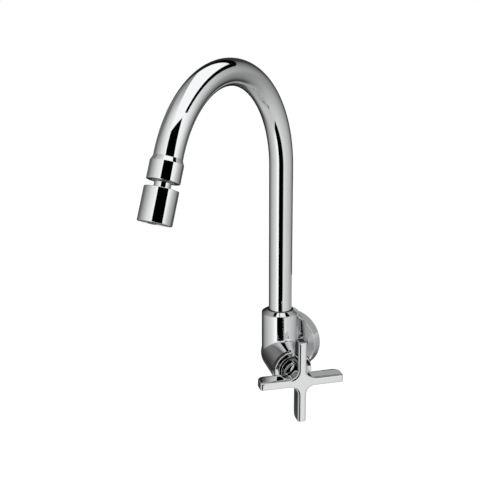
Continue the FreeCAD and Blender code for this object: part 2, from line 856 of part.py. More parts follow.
# Each node's solid and the frame that it is turned in
nodes = {
    "body_casting": (body_casting(), Placement()),
    "wall_flange": (wall_flange(), wall_frame),
    "flange_seal": (flange_seal(), wall_frame),
    "inlet_nipple": (inlet_nipple(), wall_frame),
    "inlet_strainer": (inlet_strainer(), wall_frame),
    "inlet_washer": (inlet_washer(), wall_frame),
    "spout_nut": (spout_nut(), riser_frame),
    "spout_wiper": (spout_wiper(), riser_frame),
    "socket_glide_rings": (socket_glide_rings(), riser_frame),
    "cartridge_body": (cartridge_body(), valve_frame),
    "cartridge_washer": (cartridge_washer(), valve_frame),
    "seat_seal": (seat_seal(), valve_frame),
    "ceramic_disc_fixed": (ceramic_disc_fixed(), valve_frame),
    "bonnet_ring": (bonnet_ring(), valve_frame),
    "ceramic_disc_moving": (ceramic_disc_moving(), valve_frame),
    "valve_spindle": (valve_spindle(), valve_frame),
    "spindle_o_rings": (spindle_o_rings(), valve_frame),
    "spindle_circlip": (spindle_circlip(), valve_frame),
    "spline_adapter": (spline_adapter(), valve_frame),
    "handle_cross": (handle_cross(), valve_frame),
    "handle_set_screw": (handle_set_screw(), valve_frame),
    "spout_tube": (spout_tube(), Placement()),
    "spout_base_bush": (spout_base_bush(), riser_frame),
    "spout_o_rings": (spout_o_rings(), riser_frame),
    "spout_end_bush": (spout_end_bush(), outlet_frame),
    "swivel_collar": (swivel_collar(), outlet_frame),
    "collar_seal": (collar_seal(), outlet_frame),
    "ball_slip_ring": (ball_slip_ring(), outlet_frame),
    "ball_stem": (ball_stem(), outlet_frame),
    "aerator_housing": (aerator_housing(), outlet_frame),
    "aerator_washer": (aerator_washer(), outlet_frame),
    "aerator_screens": (aerator_screens(), outlet_frame),
    "aerator_insert": (aerator_insert(), outlet_frame),
    "outlet_grid": (outlet_grid(), outlet_frame),
    "outlet_ring": (outlet_ring(), outlet_frame),
}

os.makedirs("parts", exist_ok=True)
for name, (shape, frame) in nodes.items():
    placed(shape, frame).exportStep("parts/" + name + ".step")
    print(name, "valid", shape.isValid(), "solids", len(shape.Solids),
          "volume", round(shape.Volume, 1))
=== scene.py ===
"""Finishes and smooth surfaces for a wall-mounted kitchen tap, laid out as an add-on."""

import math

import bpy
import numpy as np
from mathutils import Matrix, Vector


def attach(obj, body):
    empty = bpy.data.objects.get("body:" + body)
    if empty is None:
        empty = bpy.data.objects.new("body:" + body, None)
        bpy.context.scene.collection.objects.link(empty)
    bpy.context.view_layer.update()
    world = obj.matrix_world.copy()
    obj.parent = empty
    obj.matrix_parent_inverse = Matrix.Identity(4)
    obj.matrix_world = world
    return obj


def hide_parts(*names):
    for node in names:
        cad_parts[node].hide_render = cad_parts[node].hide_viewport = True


bl_info = {
    "name": "Wall tap finishes",
    "version": (1, 0, 0),
    "blender": (4, 5, 0),
    "location": "View3D > Sidebar > Tap",
    "description": "Builds the chromed surfaces, finishes and studio of a gooseneck wall tap",
    "category": "Object",
}

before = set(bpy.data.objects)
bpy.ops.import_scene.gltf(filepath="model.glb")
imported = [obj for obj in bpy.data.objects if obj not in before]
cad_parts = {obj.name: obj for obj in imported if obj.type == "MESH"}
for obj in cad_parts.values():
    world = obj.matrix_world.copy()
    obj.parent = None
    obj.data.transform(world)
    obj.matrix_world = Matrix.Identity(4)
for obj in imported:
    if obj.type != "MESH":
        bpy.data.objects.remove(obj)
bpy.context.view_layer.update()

MM = 0.001
ACROSS = np.array([1.0, 0.0, 0.0])
UP = np.array([0.0, 0.0, 1.0])
OUTWARD = np.array([0.0, -1.0, 0.0])
VALVE_HEADING = np.array([math.sqrt(0.5), -math.sqrt(0.5), 0.0])

# The finish that the pieces of each slot wear
SLOT_FINISHES = {
    "chrome_polished": "chrome_polished_plate", "brass_turned": "brass_turned_wall",
    "rubber_black": "rubber_black_nitrile", "fibre_red": "fibre_red_sheet",
    "foam_grey": "foam_grey_cells",
}

# How much of the light the plating mirrors, and how much a matt surface meets
PLATE_SHARE, MATT_SHARE = 0.63, 0.89

# The power of the brightness on the screen that gives the light
SCREEN_POWER = 2.2


# Curves and surfaces


def rounded_loop(corners, radii, steps=6, between=1):
    """A closed outline whose corners are arcs.

    At each corner the arc touches both sides: its tangent length is the radius times the
    tangent of half the turn, and its points lie one radius from the arc's centre, along
    the direction that turns evenly from one side's normal to the next's. Each straight
    part gets the given number of equal steps. Returns the points and outward normals.
    """
    corners = np.asarray(corners, float)
    radii = np.broadcast_to(np.asarray(radii, float), len(corners)).copy()
    following = np.roll(corners, -1, 0)
    area = (corners[:, 0] * following[:, 1] - corners[:, 1] * following[:, 0]).sum()
    if area < 0:
        corners, radii = corners[::-1], radii[::-1]
    arriving = corners - np.roll(corners, 1, 0)
    arriving /= np.linalg.norm(arriving, axis=1, keepdims=True)
    leaving = np.roll(arriving, -1, 0)
    cross = arriving[:, 0] * leaving[:, 1] - arriving[:, 1] * leaving[:, 0]
    turn = np.arctan2(cross, (arriving * leaving).sum(1))
    side = np.sign(turn)
    tangent = radii * np.tan(np.abs(turn) / 2)
    left = np.stack([-arriving[:, 1], arriving[:, 0]], 1)
    centre = corners - arriving * tangent[:, None] + left * (side * radii)[:, None]
    share = np.linspace(0, 1, steps + 1)[None, :] * turn[:, None]
    heading = np.arctan2(arriving[:, 1], arriving[:, 0])[:, None] + share
    normal = np.stack([np.sin(heading), -np.cos(heading)], -1)
    arc = centre[:, None, :] + normal * (side * radii)[:, None, None]
    if between > 1:
        start, end = arc[:, -1], np.roll(arc[:, 0], -1, 0)
        weight = np.linspace(0, 1, between + 1)[1:-1][None, :, None]
        run = start[:, None] * (1 - weight) + end[:, None] * weight
        arc = np.concatenate([arc, run], 1)
        normal = np.concatenate([normal, np.repeat(normal[:, -1:], between - 1, 1)], 1)
    return arc.reshape(-1, 2), normal.reshape(-1, 2)


def straight_axis(origin, heading, side):
    """The axis as a function of the station: origin plus station times the heading."""
    other = np.cross(heading, side)

    def at(station):
        shape = station.shape + (3,)
        centre = origin + station[..., None] * heading
        return centre, *(np.broadcast_to(v, shape) for v in (heading, side, other))

    return at


def spokes(axis, station, angle):
    """Axis points, headings and unit spokes for each station and each angle.

    A spoke is the cosine times one side vector plus the sine times the other.
    """
    centre, heading, side, other = axis(station)
    spoke = (np.cos(angle)[None, :, None] * side[:, None]
             + np.sin(angle)[None, :, None] * other[:, None])
    return centre[:, None], heading[:, None], spoke


def around_axis(profile, normals, axis, segments):
    """A surface of revolution about a straight or bent axis.

    For each profile point (radius, station) and each angle, the point is the axis point at
    that station plus the radius along the spoke.
    """
    angle = np.linspace(0, 2 * np.pi, segments, endpoint=False)
    centre, heading, spoke = spokes(axis, profile[:, 1], angle)
    points = centre + profile[:, 0][:, None, None] * spoke
    return points, normals[:, 0][:, None, None] * spoke + normals[:, 1][:, None, None] * heading


def grid_triangles(rows, columns, close_rows):
    """Two triangles for each cell of a grid whose columns close on themselves."""
    row = np.arange(rows if close_rows else rows - 1)
    column = np.arange(columns)
    a = row[:, None] * columns + column
    b = row[:, None] * columns + (column + 1) % columns
    c = ((row[:, None] + 1) % rows) * columns + (column + 1) % columns
    d = ((row[:, None] + 1) % rows) * columns + column
    cells = np.stack([a, b, c, a, c, d], -1)
    return cells.reshape(-1, 3)


def area_normals(points, triangles):
    """At each point, the sum of its triangles' normals, each as long as its area."""
    p = points[triangles]
    facing = np.cross(p[:, 1] - p[:, 0], p[:, 2] - p[:, 0])
    total = np.zeros_like(points)
    for corner in range(3):
        np.add.at(total, triangles[:, corner], facing)
    return total / np.maximum(np.linalg.norm(total, axis=1, keepdims=True), 1e-12)


def merged(points, normals, triangles):
    """Points that coincide become one, and triangles without area are dropped."""
    _, first, index = np.unique(np.round(points / 1e-7).astype(np.int64), axis=0,
                                return_index=True, return_inverse=True)
    index = index.reshape(-1)
    triangles = index[triangles]
    a, b, c = triangles.T
    triangles = triangles[(a != b) & (b != c) & (c != a)]
    total = np.zeros((len(first), 3))
    np.add.at(total, index, normals)
    return points[first], total, triangles


def volume_of(points, triangles):
    """A sixth of the sum of the triple products of each triangle's corners."""
    p = points[triangles] - points.mean(0)
    return (np.cross(p[:, 0], p[:, 1]) * p[:, 2]).sum() / 6


def mesh_piece(name, grids, body, slot, replaces):
    """One piece from grids of points in metres, each with its normals or None.

    Each grid is a closed surface, wound so that its volume comes out positive.
    """
    points, normals, triangles, count = [], [], [], 0
    for grid, facing, close_rows in grids:
        cells = grid_triangles(grid.shape[0], grid.shape[1], close_rows)
        flat, total, cells = merged(grid.reshape(-1, 3),
                                    (grid if facing is None else facing).reshape(-1, 3), cells)
        if volume_of(flat, cells) < 0:
            cells = cells[:, ::-1]
        points.append(flat)
        normals.append(area_normals(flat, cells) if facing is None else total)
        triangles.append(cells + count)
        count += len(flat)
    points, normals, triangles = (np.concatenate(a) for a in (points, normals, triangles))
    normals /= np.maximum(np.linalg.norm(normals, axis=1, keepdims=True), 1e-12)
    mesh = bpy.data.meshes.new(name)
    mesh.vertices.add(len(points))
    mesh.vertices.foreach_set("co", points.astype(np.float32).ravel())
    mesh.loops.add(triangles.size)
    mesh.loops.foreach_set("vertex_index", triangles.astype(np.int32).ravel())
    mesh.polygons.add(len(triangles))
    mesh.polygons.foreach_set("loop_start", np.arange(0, triangles.size, 3, dtype=np.int32))
    mesh.update(calc_edges=True)
    mesh.shade_smooth()
    mesh.normals_split_custom_set_from_vertices(normals.astype(np.float32))
    mesh.materials.append(bpy.data.materials[SLOT_FINISHES[slot]])
    piece = bpy.data.objects.new(name, mesh)
    bpy.context.scene.collection.objects.link(piece)
    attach(piece, body)
    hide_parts(*replaces)


def turned_piece(name, corners, radii, axis, body, slot, replaces, segments=160):
    """A piece of revolution from an outline's corners and their roundings in metres."""
    profile, facing = rounded_loop(corners, radii)
    grid = (*around_axis(profile, facing, axis, segments), True)
    mesh_piece(name, [grid], body, slot, replaces)


# Sizes and colours


def length(label, text, default):
    """A length property in metres, given in millimetres."""
    return bpy.props.FloatProperty(name=label, description=text, default=default * MM,
                                   min=0.0, subtype="DISTANCE", unit="LENGTH")


def degrees(label, text, default):
    """An angle property in radians, given in degrees."""
    return bpy.props.FloatProperty(name=label, description=text, subtype="ANGLE",
                                   unit="ROTATION", default=math.radians(default))


def spot(label, text, default):
    """A property that holds a point in metres."""
    return bpy.props.FloatVectorProperty(name=label, description=text, default=default,
                                         size=3, subtype="XYZ", unit="LENGTH")


def colour(label, text, default):
    """A colour property from three linear channels."""
    return bpy.props.FloatVectorProperty(name=label, description=text, default=default,
                                         min=0.0, max=1.0, size=3, subtype="COLOR")


class TapSizes(bpy.types.PropertyGroup):
    """Sizes of the surfaces that are laid over the solid model."""

    tube_radius: length("Tube radius", "Outside radius of the gooseneck's tube", 11.0)
    tube_wall: length("Tube wall", "Wall of the gooseneck's tube", 1.0)
    bend_radius: length("Bend radius", "Radius of the bend's centre line", 88.1)
    bend_angle: degrees("Bend angle", "How far the tube turns from straight up", 157.5)
    bend_start: length("Bend start", "Height at which the riser starts to bend", 177.4)
    riser_foot: length("Riser foot", "Height of the riser's lower end", 14.5)
    tube_tail: length("Tube tail", "Straight length after the bend", 3.3)
    stand_off: length("Stand-off", "From the wall to the riser's axis", 27.8)
    barrel_radius: length("Barrel radius", "Radius of the spout socket", 17.75)
    barrel_top: length("Barrel top", "Height of the spout socket's rim", 36.1)
    nut_top: length("Nut top", "Height of the ring nut's mouth", 39.1)
    nut_depth: length("Nut depth", "How far the ring nut reaches into the socket", 8.05)
    valve_drop: length("Valve drop", "Valve axis below the inlet's axis", 6.0)
    ring_back: length("Ring back", "Station of the bonnet ring's back", 40.0)
    ring_front: length("Ring front", "Station of the bonnet ring's front", 44.1)
    ring_radius: length("Ring radius", "Radius of the bonnet ring", 17.6)
    arm_back: length("Arm back", "Station of the back of the handle's arms", 56.5)
    arm_depth: length("Arm depth", "Depth of the handle's arms", 15.5)
    arm_width: length("Arm width", "Width of each arm", 7.7)
    arm_reach: length("Arm reach", "From the handle's axis to an arm's tip", 38.6)
    arm_crown: length("Arm crown", "Radius at which the arms' front faces roll off", 2.6)
    arm_edge: length("Arm edge", "Rounding of the arms' front edges", 0.9)
    skirt_radius: length("Skirt radius", "Radius of the handle's skirt", 12.3)
    flange_back: length("Flange back radius", "Radius of the flange at the wall", 29.6)
    flange_front: length("Flange front radius", "Radius of the flange's front edge", 28.4)
    flange_depth: length("Flange depth", "Depth of the wall flange", 9.6)
    collar_radius: length("Collar radius", "Radius of the swivel collar", 12.6)
    collar_top: length("Collar top", "Station of the collar's top, past the bend", 3.32)
    collar_shoulder: length("Collar shoulder", "Station where its cone ends", 6.9)
    collar_end: length("Collar end", "Station of the collar's mouth", 20.7)
    ball_place: length("Ball place", "Station of the ball's centre", 14.3)
    ball_radius: length("Ball radius", "Radius of the outlet's ball", 9.6)
    stem_radius: length("Stem radius", "Radius of the ball's stem", 6.3)
    housing_radius: length("Housing radius", "Radius of the aerator's housing", 13.0)
    housing_top: length("Housing top", "Station of the housing's closed end", 26.0)
    housing_end: length("Housing end", "Station of the housing's mouth", 51.7)
    washer_seat: length("Washer seat", "Station of the seat of the aerator's washer", 37.2)
    thread_pitch: length("Thread pitch", "Pitch of the inlet's pipe thread", 1.814)


class TapColours(bpy.types.PropertyGroup):
    """Colours of the finishes."""

    chrome: colour("Chrome", "Polished chrome plate", (0.62, 0.625, 0.63))
    brass: colour("Brass", "Turned brass", (0.80, 0.56, 0.25))
    rubber: colour("Rubber", "Black nitrile rubber", (0.018, 0.018, 0.019))
    fibre: colour("Fibre", "Red vulcanised fibre", (0.32, 0.055, 0.035))
    foam: colour("Foam", "Grey closed-cell foam", (0.30, 0.31, 0.32))
    plastic: colour("White plastic", "Acetal of the glide rings and the insert", (0.78, 0.78, 0.75))
    grid: colour("Grey plastic", "Plastic of the outlet grid", (0.42, 0.43, 0.44))
    steel: colour("Steel", "Stainless steel wire and screws", (0.56, 0.56, 0.57))
    ceramic: colour("Ceramic", "Fixed alumina disc", (0.82, 0.80, 0.76))
    ceramic_dark: colour("Dark ceramic", "Moving alumina disc", (0.12, 0.11, 0.11))
    ground: colour("Ground", "Floor and backdrop", (0.86, 0.86, 0.86))


# Finishes


def add(tree, kind, inputs=None, **settings):
    """A shader node with its settings and inputs, each a value or another node's output."""
    node = tree.nodes.new(kind)
    for key, value in settings.items():
        setattr(node, key, value)
    for key, value in (inputs or {}).items():
        if isinstance(value, bpy.types.NodeSocket):
            tree.links.new(value, node.inputs[key])
        else:
            node.inputs[key].default_value = value
    return node


def bare_tree(owner):
    """The emptied node tree of a material or a world."""
    owner.use_nodes = True
    owner.node_tree.nodes.clear()
    return owner.node_tree


def new_finish(name, colour, metallic, roughness, specular=0.5):
    """A material with a Principled shader whose constants sit on its own sockets."""
    material = bpy.data.materials.new(name)
    tree = bare_tree(material)
    shader = add(tree, "ShaderNodeBsdfPrincipled", {
        "Base Color": (*colour, 1), "Metallic": metallic, "Roughness": roughness,
        "Specular IOR Level": specular})
    add(tree, "ShaderNodeOutputMaterial", {"Surface": shader.outputs[0]})
    return material, tree, shader


def along(tree, heading=UP, stretch=(1, 1, 1)):
    """Object coordinates turned so that the heading becomes Z, then stretched."""
    turn = Vector(heading).rotation_difference(Vector((0, 0, 1))).to_euler()
    turned = add(tree, "ShaderNodeMapping", {
        "Vector": add(tree, "ShaderNodeTexCoord").outputs["Object"], "Rotation": turn})
    return add(tree, "ShaderNodeMapping", {
        "Vector": turned.outputs[0], "Scale": stretch}).outputs[0]


def noise(tree, vector, scale, detail=3.0, rough=0.5):
    """Soft random values between 0 and 1, with features about one over scale in size."""
    return add(tree, "ShaderNodeTexNoise", {
        "Vector": vector, "Scale": scale, "Detail": detail, "Roughness": rough}).outputs[0]


def remap(tree, value, low, high, to_low, to_high, smooth=False):
    """The value moved from one range into another, held at both ends."""
    return add(tree, "ShaderNodeMapRange", {
        "Value": value, "From Min": low, "From Max": high, "To Min": to_low,
        "To Max": to_high}, interpolation_type="SMOOTHSTEP" if smooth else "LINEAR").outputs[0]


def math_of(tree, operation, first, second=0.0):
    """One arithmetic step on one or two values."""
    return add(tree, "ShaderNodeMath", {0: first, 1: second}, operation=operation).outputs[0]


def dress(tree, shader, tones, sheen, heights):
    """Colour, roughness and bumps on the shader.

    The tones are a factor and the dark and light colours that it blends. The sheen is the
    roughness. The heights are (height, depth in metres) pairs, coarse ones first.
    """
    factor, dark, light = tones
    mixed = add(tree, "ShaderNodeMix", {"Factor": factor, "A": (*dark, 1), "B": (*light, 1)},
                data_type="RGBA")
    tree.links.new(mixed.outputs["Result"], shader.inputs["Base Color"])
    tree.links.new(sheen, shader.inputs["Roughness"])
    normal = None
    for height, depth in heights:
        inputs = {"Height": height, "Distance": depth, "Strength": 1.0}
        if normal is not None:
            inputs["Normal"] = normal
        normal = add(tree, "ShaderNodeBump", inputs).outputs[0]
    tree.links.new(normal, shader.inputs["Normal"])


def scaled(colour, share):
    """The colour at a share of its brightness."""
    return tuple(min(1.0, channel * share) for channel in colour)


def chrome_finish(colours):
    """Polished plate: mirror bright, with faint wipe haze and a trace of polishing ripple."""
    material, tree, shader = new_finish("chrome_polished_plate", colours.chrome, 1.0, 0.04)
    place = along(tree)
    haze = noise(tree, place, 70.0, 4.0, 0.6)
    wipe = noise(tree, along(tree, (0.3, 0.2, 0.9), (900, 900, 90)), 1.0, 2.0)
    both = math_of(tree, "MULTIPLY", remap(tree, haze, 0.35, 0.75, 0.2, 1.0),
                   remap(tree, wipe, 0.4, 0.7, 0.6, 1.0))
    dress(tree, shader, (haze, scaled(colours.chrome, 0.985), scaled(colours.chrome, 1.01)),
          remap(tree, both, 0.0, 1.0, 0.015, 0.06), [(noise(tree, place, 90.0, 1.0), 3e-6)])
    return material


def brass_finish(colours, name, heading):
    """Turned brass: fine tool rings round the piece's axis and slightly dulled patches."""
    material, tree, shader = new_finish("brass_turned_" + name, colours.brass, 1.0, 0.3)
    place = along(tree, heading)
    rings = add(tree, "ShaderNodeTexWave", {
        "Vector": place, "Scale": 900.0, "Distortion": 0.6, "Detail": 1.0},
        bands_direction="Z").outputs["Fac"]
    dull = noise(tree, place, 130.0, 5.0, 0.65)
    tones = remap(tree, dull, 0.35, 0.7, 0, 1), scaled(colours.brass, 0.62), colours.brass
    dress(tree, shader, tones, remap(tree, dull, 0.3, 0.7, 0.42, 0.2),
          [(rings, 6e-6), (noise(tree, place, 2500.0), 3e-6)])
    return material


def rubber_finish(colours):
    """Nitrile rubber: matt, with fine mould grain and a dusty bloom in patches."""
    material, tree, shader = new_finish("rubber_black_nitrile", colours.rubber, 0.0, 0.6, 0.35)
    place = along(tree)
    bloom = noise(tree, place, 220.0, 5.0, 0.6)
    tones = remap(tree, bloom, 0.4, 0.75, 0, 1), colours.rubber, scaled(colours.rubber, 2.2)
    dress(tree, shader, tones, remap(tree, bloom, 0.3, 0.7, 0.5, 0.72),
          [(noise(tree, place, 5000.0, 2.0), 1.2e-5)])
    return material


def fibre_finish(colours):
    """Vulcanised fibre: matted strands in two tones, dry and slightly fuzzy."""
    material, tree, shader = new_finish("fibre_red_sheet", colours.fibre, 0.0, 0.85, 0.2)
    strands = noise(tree, along(tree, (0.5, 0.3, 0.8), (2600, 2600, 300)), 1.0, 4.0, 0.7)
    dress(tree, shader, (strands, scaled(colours.fibre, 0.6), scaled(colours.fibre, 1.3)),
          remap(tree, strands, 0.3, 0.7, 0.95, 0.75), [(strands, 3e-5)])
    return material


def foam_finish(colours):
    """Closed-cell foam: small pits of uneven size over a soft grey, with painted shade darkening
    each pit's hollow.
    """
    material, tree, shader = new_finish("foam_grey_cells", colours.foam, 0.0, 0.9, 0.2)
    place = along(tree)
    cells = add(tree, "ShaderNodeTexVoronoi", {"Vector": place, "Scale": 1500.0,
                                              "Randomness": 1.0}).outputs["Distance"]
    # The colour is painted shade in each pit's hollow, darkest at its middle, times a soft random
    # tone.
    pit_shade_and_tone = math_of(tree, "MULTIPLY", remap(tree, cells, 0.0, 0.6, 0.35, 1.0),
                   remap(tree, noise(tree, place, 150.0, 3.0), 0.3, 0.7, 0.8, 1.0))
    dress(tree, shader, (pit_shade_and_tone, scaled(colours.foam, 0.35), colours.foam),
          remap(tree, cells, 0.0, 0.5, 0.98, 0.8), [(cells, 1.8e-4)])
    return material


def plastic_finish(name, base, smooth):
    """Moulded plastic: even colour with a faint cloud, and a satin surface with fine grain."""
    material, tree, shader = new_finish(name, base, 0.0, smooth, 0.45)
    place = along(tree)
    cloud = noise(tree, place, 160.0, 4.0, 0.55)
    dress(tree, shader, (cloud, scaled(base, 0.88), scaled(base, 1.05)),
          remap(tree, cloud, 0.3, 0.7, smooth - 0.06, smooth + 0.1),
          [(noise(tree, place, 3500.0, 2.0), 4e-6)])
    return material


def mesh_finish(colours, name, heading):
    """Woven steel wire: two crossed sets of fine waves over bright metal, with painted shade
    darkening the gaps between the wires.
    """
    material, tree, shader = new_finish("steel_mesh_" + name, colours.steel, 1.0, 0.3)
    place = along(tree, heading)
    weave_and_gap_shade = math_of(tree, "MAXIMUM", *(
        add(tree, "ShaderNodeTexWave", {"Vector": place, "Scale": 1300.0},
            bands_direction=way).outputs["Fac"] for way in "XY"))
    # The dark colour in the gaps between the wires is painted shade; the same weave also sets the
    # roughness and the bumps.
    dress(tree, shader, (weave_and_gap_shade, scaled(colours.steel, 0.35), colours.steel),
          remap(tree, weave_and_gap_shade, 0.0, 1.0, 0.5, 0.22), [(weave_and_gap_shade, 5e-5)])
    return material


def screw_finish(colours):
    """Rolled steel: cool grey, fine scratches in one direction, darker stains."""
    material, tree, shader = new_finish("steel_screw_plain", colours.steel, 1.0, 0.33)
    stain = noise(tree, along(tree), 300.0, 5.0, 0.65)
    scratch = noise(tree, along(tree, (0.7, 0.6, 0.3), (5000, 5000, 400)), 1.0, 2.0)
    dress(tree, shader, (stain, scaled(colours.steel, 0.6), colours.steel),
          remap(tree, scratch, 0.3, 0.7, 0.25, 0.45), [(scratch, 3e-6)])
    return material


def ceramic_finish(name, base):
    """Lapped alumina: near-mirror flat faces with a very fine speckle."""
    material, tree, shader = new_finish(name, base, 0.0, 0.2, 0.6)
    place = along(tree)
    speck = noise(tree, place, 2600.0, 2.0, 0.7)
    dress(tree, shader, (remap(tree, speck, 0.35, 0.7, 0, 1), scaled(base, 0.9), base),
          remap(tree, noise(tree, place, 200.0), 0.3, 0.7, 0.12, 0.3), [(speck, 1.5e-6)])
    return material


# Axes of the tap


def wall_axis():
    """From the wall's face out into the room."""
    return straight_axis(np.zeros(3), OUTWARD, ACROSS)


def riser_axis(sizes):
    """Up the riser, with stations that are heights."""
    return straight_axis(np.array([0, -sizes.stand_off, 0]), UP, ACROSS)


def valve_axis(sizes):
    """From the riser's axis out along the valve barrel."""
    side = np.cross(UP, VALVE_HEADING)
    return straight_axis(np.array([0, -sizes.stand_off, -sizes.valve_drop]), VALVE_HEADING, side)


def outlet_heading(sizes):
    """The direction in which the bent tube ends."""
    return np.array([0, -math.sin(sizes.bend_angle), math.cos(sizes.bend_angle)])


def outlet_axis(sizes):
    """From the end of the bend out along the aerator."""
    reach = sizes.bend_radius * (1 - math.cos(sizes.bend_angle))
    rise = sizes.bend_radius * math.sin(sizes.bend_angle)
    end = np.array([0, -sizes.stand_off - reach, sizes.bend_start + rise])
    return straight_axis(end, outlet_heading(sizes), ACROSS)


def spout_axis(sizes):
    """The tube's centre line by its running length: up the riser, round the bend, then straight.

    In the bend the point turns about the bend's centre by the length past the bend's start
    over its radius.
    """
    riser = sizes.bend_start - sizes.riser_foot

    def at(station):
        turned = np.clip((station - riser) / sizes.bend_radius, 0, sizes.bend_angle)
        before = np.minimum(station - riser, 0)
        after = np.maximum(station - riser - sizes.bend_radius * sizes.bend_angle, 0)
        heading = np.stack([0 * turned, -np.sin(turned), np.cos(turned)], -1)
        inward = np.stack([0 * turned, -np.cos(turned), -np.sin(turned)], -1)
        centre = np.stack([
            0 * turned,
            -sizes.stand_off - sizes.bend_radius * (1 - np.cos(turned)),
            sizes.bend_start + sizes.bend_radius * np.sin(turned)], -1)
        centre = centre + heading * (before + after)[:, None]
        return centre, heading, np.broadcast_to(ACROSS, heading.shape), inward

    return at


def stepped(profile, normals, longest):
    """The closed profile with extra points, so that no step along it is over the longest."""
    closed = np.concatenate([profile, profile[:1]])
    facing = np.concatenate([normals, normals[:1]])
    run = np.concatenate([[0], np.cumsum(np.linalg.norm(np.diff(closed, axis=0), axis=1))])
    extra = np.linspace(0, run[-1], int(run[-1] / longest) + 2)
    where = np.unique(np.concatenate([run, extra]))[:-1]
    points = np.stack([np.interp(where, run, closed[:, k]) for k in range(2)], 1)
    return points, np.stack([np.interp(where, run, facing[:, k]) for k in range(2)], 1)


def in_mm(*corners):
    """Outline corners typed in millimetres."""
    return np.array(corners) * MM


def band(inner, outer, start, end):
    """The four corners of a plain ring's section."""
    return [(inner, start), (outer, start), (outer, end), (inner, end)]


def arc_corners(centre, radius, start, end, count):
    """Points (radius, station) on a circle: the sine and cosine of the polar angle."""
    angle = np.linspace(start, end, count)
    return np.stack([radius * np.sin(angle), centre - radius * np.cos(angle)], 1)


# Pieces


class TAP_OT_finishes(bpy.types.Operator):
    """Make the finishes and give them to the nodes that stay as they are"""

    bl_idname = "tap.finishes"
    bl_label = "Finishes"

    def execute(self, context):
        colours = context.scene.tap_colours
        ways = {"valve": VALVE_HEADING, "wall": OUTWARD, "riser": UP,
                "outlet": outlet_heading(context.scene.tap_sizes)}
        chrome = chrome_finish(colours)
        rubber = rubber_finish(colours)
        fibre = fibre_finish(colours)
        foam_finish(colours)
        screw = screw_finish(colours)
        white = plastic_finish("plastic_white_acetal", tuple(colours.plastic), 0.42)
        grey = plastic_finish("plastic_grey_moulded", tuple(colours.grid), 0.38)
        pale = ceramic_finish("ceramic_white_lapped", tuple(colours.ceramic))
        dark = ceramic_finish("ceramic_dark_lapped", tuple(colours.ceramic_dark))
        brass = {name: brass_finish(colours, name, way) for name, way in ways.items()}
        mesh = {name: mesh_finish(colours, name, ways[name]) for name in ("wall", "outlet")}
        given = {
            "body_casting": chrome, "inlet_nipple": brass["wall"],
            "inlet_strainer": mesh["wall"], "inlet_washer": fibre,
            "socket_glide_rings": white, "cartridge_body": brass["valve"],
            "cartridge_washer": fibre, "seat_seal": rubber, "ceramic_disc_fixed": pale,
            "ceramic_disc_moving": dark, "valve_spindle": brass["valve"],
            "spindle_o_rings": rubber, "spindle_circlip": screw,
            "spline_adapter": brass["valve"], "handle_set_screw": screw,
            "spout_base_bush": brass["riser"], "spout_o_rings": rubber,
            "spout_end_bush": brass["outlet"], "collar_seal": rubber,
            "ball_slip_ring": white, "aerator_washer": rubber,
            "aerator_screens": mesh["outlet"], "aerator_insert": white, "outlet_grid": grey,
        }
        for node, finish in given.items():
            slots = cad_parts[node].data.materials
            if not slots:
                slots.append(finish)
            for place in range(len(slots)):
                slots[place] = finish
        return {"FINISHED"}


class TAP_OT_gooseneck(bpy.types.Operator):
    """Build the bent tube of the spout"""

    bl_idname = "tap.gooseneck"
    bl_label = "Gooseneck"

    def execute(self, context):
        sizes = context.scene.tap_sizes
        end = (sizes.bend_start - sizes.riser_foot + sizes.bend_radius * sizes.bend_angle
               + sizes.tube_tail)
        outer, inner = sizes.tube_radius, sizes.tube_radius - sizes.tube_wall
        end_round, longest = in_mm(0.25, 1.6)
        outline = [(outer, 0), (outer, end), (inner, end), (inner, 0)]
        profile, facing = stepped(*rounded_loop(outline, end_round), longest)
        grid = (*around_axis(profile, facing, spout_axis(sizes), 128), True)
        mesh_piece("gooseneck_tube", [grid], "spout", "chrome_polished", ["spout_tube"])
        return {"FINISHED"}


class TAP_OT_socket(bpy.types.Operator):
    """Build the ring nut over the spout's socket and its wiper"""

    bl_idname = "tap.socket"
    bl_label = "Socket nut"

    def execute(self, context):
        sizes = context.scene.tap_sizes
        axis = riser_axis(sizes)
        barrel, top, mouth = sizes.barrel_radius, sizes.barrel_top, sizes.nut_top
        bore, seat = sizes.tube_radius + in_mm(0.3, 1.4)
        thread = barrel - 2.55 * MM
        foot, groove = top - sizes.nut_depth, mouth - 2.2 * MM
        land = seat + 0.4 * MM
        nut = [(bore, foot), (thread, foot), (thread, top), (barrel, top), (land, mouth),
               (seat, mouth), (seat, groove), (bore, groove)]
        turned_piece("socket_nut", nut, in_mm(0.1, 0.2, 0.05, 0.2, 0.15, 0.12, 0.05, 0.1),
                     axis, "tap_body", "chrome_polished", ["spout_nut"])
        # The wiper lies in the nut's groove and touches the tube.
        lip = mouth - 0.6 * MM
        wiper = band(bore - 0.24 * MM, seat - 0.05 * MM, lip - 1.6 * MM, lip)
        turned_piece("socket_wiper", wiper, 0.35 * MM, axis, "tap_body", "rubber_black",
                     ["spout_wiper"])
        return {"FINISHED"}


